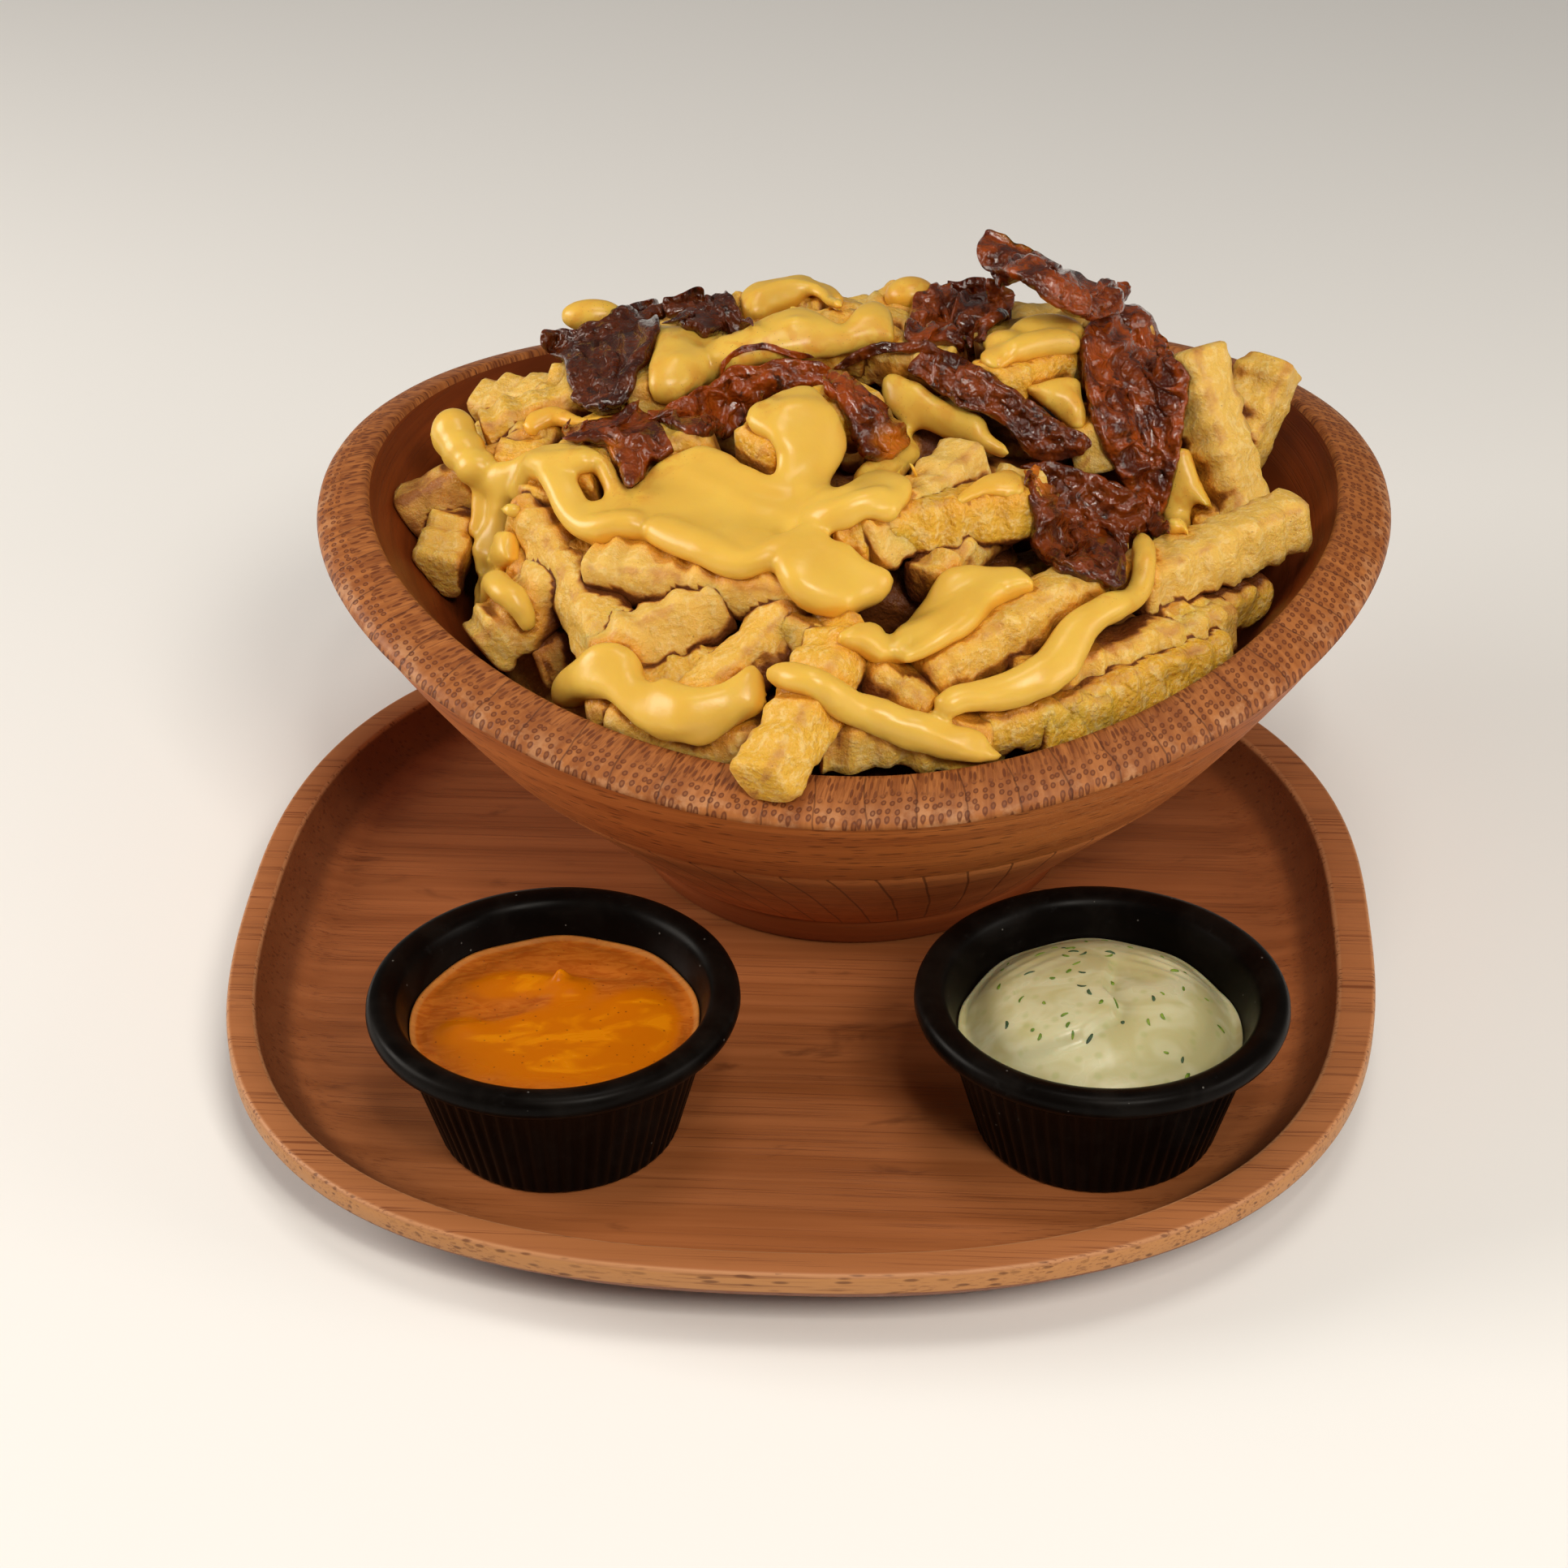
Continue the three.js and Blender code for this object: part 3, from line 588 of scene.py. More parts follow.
# Sauce cups
# Two black melamine cups: a tapered body with fine flutes, a rolled lip and a smooth inside.
# They stand loose on the tray's floor.
CUP_PLACES = {"left": (-49.4, -60.8), "right": (57.3, -62.6)}
CUP_BASE = 7.3
CUP_FLUTES = 60
CUP_PROFILE = [
    # radius, height over the base and depth of the flutes: under and up the outside
    (10, 0.5, 0), (21, 0.5, 0), (22, 0, 0), (23.4, 0, 0), (23.9, 0.4, 0.1), (24.2, 1.2, 0.5), (27.8, 14, 0.6),
    (31.2, 26.2, 0.6), (31.6, 26.9, 0.2),
    # over the lip
    (34.4, 27), (35.5, 27.3), (36.2, 28), (36.5, 29), (36.4, 30), (36, 31), (35.3, 31.7), (34.2, 32),
    (33, 31.95), (31.8, 31.6), (30.9, 31), (30.3, 30), (29.9, 28.8),
    # down the inside
    (29.3, 27), (27.6, 20.5), (26, 14), (24.2, 8.9), (22.8, 4.8), (22.2, 3.6), (21, 2.9), (8, 2.8),
]


def black_melamine():
    material, tree, shader = new_material("black_melamine", IOR=1.35, Specular_IOR_Level=0.1)
    position = in_mm(tree)
    smudge = cloud(position, 0.09, 3, 0.6, 0.6)
    scuff = step(cloud(position, 0.35, 4, 0.7), 0.6, 0.78)
    fleck = specks(position, 0.32, (0.075, 0.05), (0.55, 0.6))
    base = mix(step(smudge, 0.4, 0.75), colour(0.0022, 0.0014, 0.001), colour(0.006, 0.0045, 0.0036))
    base = painted(base, colour(0.06, 0.06, 0.062), scuff, 0.1)
    base = painted(base, colour(0.25, 0.24, 0.22), fleck, 0.4)
    dress(shader, base, plus(times(smudge, 0.3), 0.2), scuff, 0.1, 0.05)
    return material


def cup(side, material):
    x, y = CUP_PLACES[side]

    def ring(radius, z, depth=0.0):
        fluted = lambda a: radius - depth * (0.5 - 0.5 * np.cos(CUP_FLUTES * a)) ** 1.5
        return round_ring(CUP_FLUTES * 6, x, y, fluted, CUP_BASE + z)

    shell = skin([ring(*place) for place in CUP_PROFILE])
    make_piece(f"sauce_cup_{side}", [shell], [material], f"cup_{side}")


melamine = black_melamine()
for cup_side in CUP_PLACES:
    cup(cup_side, melamine)

# Dips
# A loose orange sauce that has settled with folds and a small peak, and a stiffer white herb
# dip spooned into a mound. Each fills its cup up to the wall.
ORANGE_LEVEL = 23.5
HERB_LEVEL = 21
CUP_INSIDE = [(21.4, 2.8), (22.6, 4.2), (26, 14), (29.3, 27)]  # radius and height up the inner wall
DIP_SEED = 9
BUBBLE_ARC = (-128, -58)  # degrees, at the near side of the cup
HERB_REACH = 25
HERB_FOLD = [
    # The left half of the herb dip overlaps the right half along the first eight of these points.
    (3.6, 15), (0.8, 1), (2.6, -3), (1.8, -6.6), (-2.6, -9.5), (-4.8, -11.5), (-10.5, -12.9), (-17, -13),
    (-40, -13), (-40, 40), (4, 40),
]


def cup_inside(z):
    radii, heights = zip(*CUP_INSIDE)
    return float(np.interp(z, heights, radii))


def repeatable(seed):
    """A row of numbers between 0 and 1 that is the same in each run."""
    state = seed
    while True:
        state = (state * 1664525 + 1013904223) % 4294967296
        yield state / 4294967296


def hump(x, y, cx, cy, wide, deep=None, turn=0.0):
    """A soft swelling of height 1 round a place, wide one way and deep the other."""
    c, s = math.cos(turn), math.sin(turn)
    u = ((x - cx) * c + (y - cy) * s) / wide
    v = ((y - cy) * c - (x - cx) * s) / (deep or wide)
    return np.exp(-u * u - v * v)


def orange_top(x, y):
    """Height of the orange sauce's folds and its peak over its level."""
    share = np.hypot(x, y) / 28
    top = 0.9 * (1 - share**2) - 0.8 * hump(x, y, -9, 4, 9, 2.2, 0.5)
    top += 1.3 * hump(x, y, -18, -3, 5, 3.4, 0.4) + 1.2 * hump(x, y, -9, 12.5, 9, 4.4, 0.15)
    top += 1.5 * hump(x, y, 2, 10, 4.6, 3.2, 0.2) + 2.2 * hump(x, y, 0.5, 13, 2.0, 1.1, 0.9)
    top += 0.9 * hump(x, y, 16, 5, 7, 6) - 0.9 * hump(x, y, 7, 15.5, 10, 1.6, -0.12)
    return top - 0.3 * np.tanh((y - 9 - 0.5 * x) / 1.2) * hump(x, y, -4, 8, 9)


def orange_brightness(x, y):
    """1 where the sauce swells up clean, 0 where a brown film of oil and spice has gathered."""
    bright = 1.5 * hump(x, y, -18, -3, 4.5, 3, 0.4) + 1.4 * hump(x, y, -9, 12, 9, 4, 0.15)
    clean = 1.6 * hump(x, y, 2, 10, 4.5, 4) + 1.7 * hump(x, y, 3, -8, 20, 11)
    bright += clean + 1.2 * hump(x, y, 17, 3, 6, 7)
    bright -= 0.9 * hump(x, y, -8, 3.5, 10, 1.8, 0.5)
    return np.clip(bright, 0, 1) * np.clip((27.2 - np.hypot(x, y)) / 3.5, 0, 1)


def inside_by(px, py, outline):
    """How far places are inside an outline, or outside it as negative numbers."""
    here = np.stack([px, py], -1)[..., None, :]
    a = np.asarray(outline, float)
    b = np.roll(a, -1, 0)
    edge = b - a
    share = np.clip(((here - a) * edge).sum(-1) / (edge**2).sum(-1), 0, 1)
    gap = np.linalg.norm(here - (a + share[..., None] * edge), axis=-1).min(-1)
    crossed = (a[:, 1] > here[..., 1]) != (b[:, 1] > here[..., 1])
    rise = np.where(edge[:, 1] == 0, 1e-9, edge[:, 1])
    left = here[..., 0] < a[:, 0] + (here[..., 1] - a[:, 1]) * edge[:, 0] / rise
    return np.where((crossed & left).sum(-1) % 2 == 1, gap, -gap)


def herb_top(x, y):
    """Height of the spooned herb dip over its level: a dome with a fold, a lobe and ripples."""
    share = np.hypot(x, y) / 27.5
    dome = np.maximum(9.4 * (1 - (np.hypot(x, y - 3) / 26.5) ** 3.4), 0)
    over = inside_by(x, y, HERB_FOLD)
    fold = 1.2 * np.tanh(over / 0.7) * np.exp(-np.where(over > 0, (over / 12) ** 2, (over / 5) ** 2))
    fold *= np.clip((15 - y) / 9, 0.15, 1)
    lobe = 1.0 * hump(x, y, 10, -2, 8, 6) - 0.5 * hump(x, y, 5, 9, 6, 1.6, -0.9)
    ripples = 0.3 * np.sin(1.9 * y + 0.8 * x) * hump(x, y, 15, 12, 8, 4)
    ripples += 0.2 * np.sin(1.6 * y - 0.9 * x) * hump(x, y, -15, 13, 8, 5)
    return dome + (fold + lobe + ripples) * np.clip(3.2 - 3.2 * share, 0, 1)


def dip(name, side, level, top_at, materials, cad_node, extras, brightness=None):
    """A filling with a flat bottom, whose top is drawn up a little where it meets the wall."""
    count = 160
    reach = cup_inside(level) - 0.05

    def top_ring(share):
        ring = round_ring(count, 0, 0, share * reach, 0)
        rise = np.exp(-(((1 - share) * reach / 0.9) ** 2)) * 0.9
        ragged = 0.25 * np.sin(9 * np.arange(count) / count * 2 * math.pi) * (share > 0.9)
        ring[:, 2] = level + top_at(ring[:, 0], ring[:, 1]) + rise + ragged
        return ring

    rings = [round_ring(count, 0, 0, cup_inside(z) - 0.25, z) for z in (3.2, 8, 14, level - 2)]
    rings += [top_ring(s) for s in (1, 0.985, 0.965, 0.94, *np.linspace(0.91, 0.02, 46))]
    parts = [skin(rings), *extras]
    zones = []
    for k, part in enumerate(parts):
        zones += [min(k, len(materials) - 1)] * len(part[1])
    points = joined(parts)[0]
    marks = {"bright": brightness(points[:, 0], points[:, 1])} if brightness else None
    in_cup = [(part[0] + [*CUP_PLACES[side], CUP_BASE], part[1]) for part in parts]
    make_piece(name, in_cup, materials, cad_node, zones=zones, marks=marks)


def flecks(count, size, draw):
    """Slivers of chopped herb that lie on the dip, each a bent strip with rounded ends."""
    slivers = []
    for _ in range(count):
        out, turn = HERB_REACH * math.sqrt(next(draw)), next(draw) * 2 * math.pi
        x, y = out * math.cos(turn), out * math.sin(turn)
        heading, bend = next(draw) * 2 * math.pi, (next(draw) - 0.5) * 1.6
        length = size * (0.5 + 1.1 * next(draw))
        wide = size * (0.16 + 0.14 * next(draw))
        rings = []
        for t, swell in ((-0.5, 0.35), (-0.3, 0.9), (0, 1.0), (0.3, 0.8), (0.5, 0.3)):
            h = heading + bend * t
            centre_x, centre_y = x + t * length * math.cos(h), y + t * length * math.sin(h)
            ring = []
            for corner in range(6):
                a = corner / 6 * 2 * math.pi
                s, up = math.cos(a) * wide * swell, math.sin(a) * wide * 0.35 * swell
                px, py = centre_x - s * math.sin(h), centre_y + s * math.cos(h)
                ring.append((px, py, HERB_LEVEL + float(herb_top(px, py)) + 0.06 + up))
            rings.append(ring)
        slivers.append(skin(rings))
    return joined(slivers)


def bubbles(count, draw):
    """Small bubbles in the orange sauce that stand along the wall."""
    first, last = BUBBLE_ARC
    froth = []
    for k in range(count):
        angle = math.radians(first + (last - first) * (k + 0.7 * next(draw)) / count)
        out = 26.9 + 0.5 * next(draw)
        x, y, size = out * math.cos(angle), out * math.sin(angle), 0.3 + 0.4 * next(draw)
        z = ORANGE_LEVEL + float(orange_top(x, y)) + 0.5
        tilts = np.linspace(-1.35, 1.35, 6)
        rings = [round_ring(10, x, y, size * math.cos(t), z + size * 0.8 * math.sin(t)) for t in tilts]
        froth.append(skin(rings))
    return joined(froth)


def marked(tree, name):
    """A number that set_mark stored for each point."""
    return node(tree, "Attribute", attribute_name=name).outputs["Fac"]


def orange_sauce():
    material, tree, shader = new_material(
        "orange_sauce", IOR=1.45, Specular_IOR_Level=0.25, Subsurface_Weight=0.15, Subsurface_Scale=0.002
    )
    position = in_mm(tree, *CUP_PLACES["left"], CUP_BASE + ORANGE_LEVEL)
    flow = cloud(scaled(position, (0.07, 0.16, 0.1)), 1, 3, 0.5, 1.2)
    wisps = cloud(scaled(position, (0.16, 0.42, 0.3)), 1, 3, 0.6, 1.5)
    bright = marked(tree, "bright")
    clean = step(plus(bright, times(minus(flow, 0.5), 0.7)), 0.15, 0.75)
    base = mix(step(wisps, 0.35, 0.65), colour(0.47, 0.13, 0.013), colour(0.36, 0.08, 0.006))
    base = mix(clean, base, colour(0.49, 0.125, 0.0004))
    base = mix(step(times(bright, flow), 0.42, 0.6, 0.7), base, colour(0.66, 0.22, 0.0008))
    # A paler film is drawn out thin along the wall.
    level_place = {0: scaled(position, (1.0, 1.0, 0.0))}
    out = node(tree, "VectorMath", level_place, operation="LENGTH").outputs["Value"]
    base = mix(step(out, 26.9, 27.6, 0.4), base, colour(0.5, 0.25, 0.07))
    spice = specks(position, 0.62, (0.16, 0.1), (0.45, 0.5))
    base = painted(base, colour(0.12, 0.025, 0.004), spice, 0.7)
    dress(shader, base, plus(times(flow, 0.2), 0.16), cloud(position, 0.5, 3), 0.25, 0.15)
    return material


def herb_cream():
    material, tree, shader = new_material(
        "herb_cream", IOR=1.45, Specular_IOR_Level=0.4, Subsurface_Weight=0.2, Subsurface_Scale=0.003
    )
    position = in_mm(tree, *CUP_PLACES["right"], CUP_BASE + HERB_LEVEL)
    flow = cloud(scaled(position, (0.08, 0.12, 0.12)), 1, 2, 0.5, 1.0)
    base = mix(step(flow, 0.35, 0.65), colour(0.54, 0.51, 0.31), colour(0.45, 0.41, 0.2))
    stain, _ = cells(position, 0.3)
    base = painted(base, colour(0.3, 0.34, 0.1), step(stain, 0.35, 0.1), 0.35)
    dress(shader, base, plus(times(flow, 0.15), 0.22), cloud(position, 0.35, 3), 0.3, 0.3)
    return material


def chopped_herb(name, light, dark):
    material, tree, shader = new_material(name, IOR=1.45, Subsurface_Weight=0.1, Subsurface_Scale=0.0005)
    position = in_mm(tree)
    base = mix(step(cloud(position, 0.7, 2), 0.35, 0.65), dark, light)
    dress(shader, base, plus(times(cloud(position, 2.0), 0.2), 0.3))
    return material


dip_draw = repeatable(DIP_SEED)
froth = [bubbles(16, dip_draw)]
orange = [orange_sauce()]
dip("orange_dip", "left", ORANGE_LEVEL, orange_top, orange, "dip_orange", froth, orange_brightness)
bright_herb = chopped_herb("chopped_herb_bright", colour(0.2, 0.3, 0.03), colour(0.08, 0.16, 0.012))
dark_herb = chopped_herb("chopped_herb_dark", colour(0.05, 0.1, 0.04), colour(0.015, 0.04, 0.015))
herbs = [flecks(40, 1.5, dip_draw), flecks(13, 1.6, dip_draw)]
dip("herb_dip", "right", HERB_LEVEL, herb_top, [herb_cream(), bright_herb, dark_herb], "dip_herb", herbs)


# Fries
# Crinkle-cut potato, about half an inch square, fried pale gold and heaped in the bowl.
# The ones that show lie where the photograph shows them; others are laid by rule behind and below.
HEAP = {"x": 8, "y": 54, "radius": 100, "top": 117, "edge": 66, "fullness": 2.8}
FRY = {"side": 12.8, "squareness": 5.5, "crinkle": 6.6, "crinkle_depth": 0.7}
FRIES = [
    # left side of the bowl, far to near: x, y, z of one end and of the other, and extra browning, which on
    # the low fry at -54, 4 is painted shade
    (-69, 84, 94, -36, 66, 106), (-66, 55, 101, -32, 62, 110), (-84, 50, 85, -50, 52, 103, 0.5),
    (-52, 21, 101, -33, 55, 108), (-52, 27, 100, -18, 29, 111), (-55, 23, 99, -37, -16, 87),
    (-56, 26, 92, -53, 7, 85, 0.1), (-65, 2, 80, -45, 11, 94), (-54, 4, 76, -28, 9, 84, 0.6),
    (-46, 22, 104, -33, 38, 108),
    # front, left to right
    (-41, 2, 98, 2, -14, 101), (-40, -17, 87, -16, -9, 95), (-23, -34, 83, 6, -8, 102),
    (-41, -22, 78, -12, -22, 86), (-37, -26, 78, 0, -36, 79), (-8, -53, 81, 9, -20, 95),
    (-2, -17, 94, 24, -33, 83), (4, -35, 80, 35, -35, 78), (33, -31, 79, 58, -22, 79),
    (12, -6, 106, 34, 20, 111), (6, -4, 107, 46, 10, 106), (25, -7, 98, 46, 22, 104),
    # under the middle of the sauce
    (-48, 9, 93, -14, 6, 98), (-20, 5, 98.5, 12, 7, 98.5), (-40, 15, 97.5, -4, 13, 101),
    (-8, 12, 102, 20, 12, 103),
    # right side, near to far
    (45, -29, 79, 84, -2, 79), (42, -25, 85, 86, 4, 82), (24, -28, 88, 58, -5, 96),
    (35, -17, 88, 64, 4, 94), (67, 1, 92, 103, 27, 94), (72, -3, 84, 93, 21, 80),
    (84, 57, 118, 95, 39, 84), (94, 58, 93, 103, 70, 109),
    # top and back
    (-9, 19, 113, 14, 38, 115), (-29, 44, 114, -29, 76, 112), (40, 44, 116, 64, 66, 113),
    (-26, 74, 110, 2, 90, 115), (-2, 88, 114, 28, 78, 110), (2, 96, 105, 31, 92, 112),
    (60, 84, 104, 77, 90, 108), (-14, 56, 116, 18, 66, 117), (2, 72, 116, 33, 55, 117),
    (40, 68, 112, 68, 72, 116), (16, 92, 104, 26, 97, 113), (36, 88, 109, 66, 86, 110),
    (75, 73, 104, 75, 45, 97), (-40, 97, 83, 0, 114, 85),
]
BACK_FRIES = {"count": 13, "rows": (78, 58), "arc": (-10, 190), "half_length": 20, "length_spread": 9}
LOWER_FRIES = {
    "count": 52, "rows": (30, 52, 70, 84), "half_length": 15, "length_spread": 9,
    "under": 18,  # how far below the fries on top
    "lowest": 62.0,  # of the surface that they are under
    "wall_gap": 5,
}
MOUND = {"under": 25, "lowest": 57}
GOLDEN_ANGLE = 2.39996
BOWL_CLEARANCE = 0.4
SHOWN_SEED, LOWER_SEED = 1311, 77


def heap_z(x, y):
    """Height of the middle of the uppermost fries."""
    share = np.hypot(np.asarray(x) - HEAP["x"], np.asarray(y) - HEAP["y"]) / HEAP["radius"]
    return HEAP["edge"] + (HEAP["top"] - HEAP["edge"]) * (1 - share ** HEAP["fullness"])


def keep_clear_of_bowl(points):
    """Moves points that are in the bowl's wall to its inner side, or up onto its rim if that is nearer."""
    x, y = points[:, 0] - BOWL["x"], points[:, 1] - BOWL["y"]
    out = np.hypot(x, y)
    angle = np.arctan2(y, x)
    edge = rim_z(angle)
    inner = inner_radius(np.maximum(points[:, 2], WAIST_Z + 12)) - BOWL_CLEARANCE
    share_in = np.clip((outer_radius(edge) - out) / BOWL["rim_width"], 0, 1)
    face = edge + BOWL["rim_rise"] * share_in + BOWL_CLEARANCE
    too_far = out - inner
    too_low = face - points[:, 2]
    stuck = (too_far > 0) & (too_low > 0) & (out < outer_radius(edge) + 0.5)
    inward = stuck & (too_far < too_low * 1.3)
    upward = stuck & ~inward
    scale = np.where(inward, inner / np.maximum(out, 1e-6), 1)
    moved = points.copy()
    moved[:, 0] = BOWL["x"] + x * scale
    moved[:, 1] = BOWL["y"] + y * scale
    moved[upward, 2] = face[upward]
    return moved


def fry(ends, draw, spacing=1.0, around=30):
    """One fry, and how browned each of its points is, with painted shade in its troughs and dents."""
    start, end, extra = np.array(ends[:3], float), np.array(ends[3:6], float), sum(ends[6:])
    length = np.linalg.norm(end - start)
    bow = np.array([next(draw) - 0.5, next(draw) - 0.5, next(draw) - 0.3]) * length * 0.07
    width = FRY["side"] * (0.86 + 0.14 * next(draw))
    depth = FRY["side"] * (0.82 + 0.14 * next(draw))
    roll = (next(draw) - 0.5) * math.radians(40)
    phase = next(draw) * 6
    taper = (next(draw) - 0.3) * 0.2
    if next(draw) > 0.5:
        roll += math.pi / 2
    along = (end - start) / length
    across_fry = np.cross([0, 0, 1], along)
    across_fry /= np.linalg.norm(across_fry)
    over = np.cross(along, across_fry)
    count = max(8, round(length / spacing))
    # Each end is cut square and has softened corners.
    caps = [(-1.2, 0.42), (-1.05, 0.74), (-0.6, 0.9)]
    stations = [(shift / length, size) for shift, size in caps]
    for share in np.linspace(0, 1, count + 1):
        stations.append((share, 1 - 0.04 * math.exp(-min(share, 1 - share) * length / 2)))
    stations += [(1 - shift / length, size) for shift, size in reversed(caps)]
    angles = np.arange(around) / around * 2 * math.pi
    power = FRY["squareness"]
    square = (np.abs(np.cos(angles)) ** power + np.abs(np.sin(angles)) ** power) ** (-1 / power)
    corner = np.clip((square - 1.14) / 0.08, 0, 1)
    rings = []
    browning_and_shade = []
    for share, size in stations:
        at = share * length
        uneven = noise.noise(Vector((at / 11, phase, 0)))
        wave = math.sin(at / FRY["crinkle"] * 2 * math.pi + phase + 2.0 * uneven)
        wave *= 0.75 + 0.6 * noise.noise(Vector((at / 9, phase, 5)))
        # The blade's waves shift the upper and lower faces together and swell the sides.
        a = square * np.cos(angles) * (width / 2 + 0.3 * FRY["crinkle_depth"] * wave) * size
        b = square * np.sin(angles) * (depth / 2) * size * (1 - taper * share)
        b = b + FRY["crinkle_depth"] * wave * size
        turned_a = a * math.cos(roll) - b * math.sin(roll)
        turned_b = a * math.sin(roll) + b * math.cos(roll)
        middle = start + (end - start) * share + bow * 4 * share * (1 - share)
        rings.append(middle + turned_a[:, None] * across_fry + turned_b[:, None] * over)
        tip = math.exp(-max(0, min(share, 1 - share)) * length / 3)
        # Browning is heavier at the corners and the ends; the crinkles' troughs are painted browner and their
        # crests paler, as painted shade.
        browning_and_shade.append(0.4 * corner + 0.2 * tip - 0.12 * wave * np.sin(angles) * (1 - tip) + 0.08 + extra)
    vertices, faces = skin(rings)
    brown = np.concatenate([*browning_and_shade, [0.3, 0.3]])
    knobs = np.concatenate([np.tile(corner, len(stations)), [0, 0]])
    middle = (start + end) / 2
    for i, v in enumerate(vertices):
        lump = noise.noise(Vector(v / 6.5 + middle)) * 1.1 + noise.noise(Vector(v / 2.4 + middle)) * 0.3
        lump += knobs[i] * noise.noise(Vector(v / 1.9 - middle)) * 0.5
        outward = v - (start + along * np.dot(v - start, along))
        vertices[i] = v + outward / (np.linalg.norm(outward) + 1e-6) * lump
        # Dents are painted browner and bumps paler, as painted shade.
        brown[i] += 0.25 * noise.noise(Vector(v / 6 - middle)) - 0.3 * lump
    return keep_clear_of_bowl(vertices), faces, np.clip(brown, 0, 1)


def both_ends(x, y, heading, half, height_over):
    """The ends of a fry with its middle at x, y, each at a height that its place in the heap gives."""
    ends = []
    for along in (-half, half):
        end_x, end_y = x + along * math.cos(heading), y + along * math.sin(heading)
        ends += [end_x, end_y, height_over(float(heap_z(end_x, end_y)))]
    return ends


def back_fries(draw):
    """The ends of the fries over the back of the heap, which lie roughly along its rim."""
    rows, count = BACK_FRIES["rows"], BACK_FRIES["count"]
    first, last = BACK_FRIES["arc"]
    for k in range(count):
        angle = math.radians(first + (last - first) * (k + 0.5) / count + 8 * (next(draw) - 0.5))
        out = rows[k % len(rows)]
        x = HEAP["x"] + out * math.cos(angle)
        y = HEAP["y"] + out * math.sin(angle)
        heading = angle + math.radians(90 + 60 * (next(draw) - 0.5))
        half = BACK_FRIES["half_length"] + BACK_FRIES["length_spread"] * next(draw)
        yield both_ends(x, y, heading, half, lambda z: z + 3 * next(draw) - 3)


def clear_of_wall(x, y, z):
    return math.hypot(x - BOWL["x"], y - BOWL["y"]) < inner_radius(z) - LOWER_FRIES["wall_gap"]


def lower_fries(draw):
    """The ends of the second layer, which fills the gaps between the fries on top."""
    rows, under, lowest = LOWER_FRIES["rows"], LOWER_FRIES["under"], LOWER_FRIES["lowest"]
    for k in range(LOWER_FRIES["count"]):
        # Each fry is a golden angle on from the last, in a row that changes without a pattern.
        row = (k * 7) % 19 % len(rows)
        angle = k * GOLDEN_ANGLE + 0.5 * next(draw)
        out = rows[row] + 6 * (next(draw) - 0.5)
        x, y = HEAP["x"] + out * math.cos(angle), HEAP["y"] + out * math.sin(angle) - 4
        heading = next(draw) * 2 * math.pi
        half = LOWER_FRIES["half_length"] + LOWER_FRIES["length_spread"] * next(draw)
        ends = both_ends(x, y, heading, half, lambda z: max(lowest, z) - under - 3 * next(draw))
        if clear_of_wall(*ends[:3]) and clear_of_wall(*ends[3:]):
            yield ends


def crisp_potato():
    material, tree, shader = new_material(
        "crisp_potato", IOR=1.45, Subsurface_Weight=0.3, Subsurface_Scale=0.003, Specular_IOR_Level=0.4
    )
    shader.inputs["Subsurface Radius"].default_value = (1.0, 0.6, 0.2)
    position = in_mm(tree)
    browning_and_shade, tone, shade, glaze = (marked(tree, name) for name in ("browning_and_shade", "tone", "shade", "glaze"))
    patch = cloud(position, 0.16, 3, 0.6)
    blister = cloud(position, 0.6, 4, 0.65)
    crust = plus(browning_and_shade, times(minus(patch, 0.5), 0.9))
    crust = plus(crust, times(minus(blister, 0.5), 0.5))
    base = mix(tone, colour(0.76, 0.48, 0.105), colour(0.73, 0.4, 0.032))
    # Pale blister patches: partly the potato's own paler spots, partly painted highlights.
    base = mix(step(blister, 0.46, 0.64, 0.6), base, colour(0.84, 0.62, 0.25))
    base = mix(step(crust, 0.3, 0.75, 0.85), base, colour(0.56, 0.26, 0.055))
    base = mix(step(crust, 0.7, 1.05, 0.9), base, colour(0.3, 0.1, 0.02))
    crumbs = specks(position, 0.5, (0.11, 0.07), (0.72, 0.76))
    base = painted(base, colour(0.22, 0.08, 0.02), crumbs, 0.5)
    # Painted shade: where fries and sauce nearby hide much of the view from a point, the colour turns dark
    # orange, and nearly black where more is hidden.
    base = mix(step(shade, 0.14, 0.4, 0.85), base, colour(0.5, 0.18, 0.022))
    base = mix(step(shade, 0.3, 0.55, 0.92), base, colour(0.12, 0.025, 0.004))
    base = painted(base, colour(0.78, 0.34, 0.025), glaze, 0.75)
    rough = minus(plus(times(blister, 0.3), 0.3), times(glaze, 0.25))
    # The crisper, yellower fries are covered with small bubbles.
    bubble = times(step(cells(position, 0.7)[0], 0.55, 0.1), tone)
    fine = plus(times(cloud(position, 1.4, 3, 0.7), 0.4), times(bubble, 0.45))
    dress(shader, base, rough, plus(blister, times(fine, 0.7)), 0.8, 0.8)
    return material


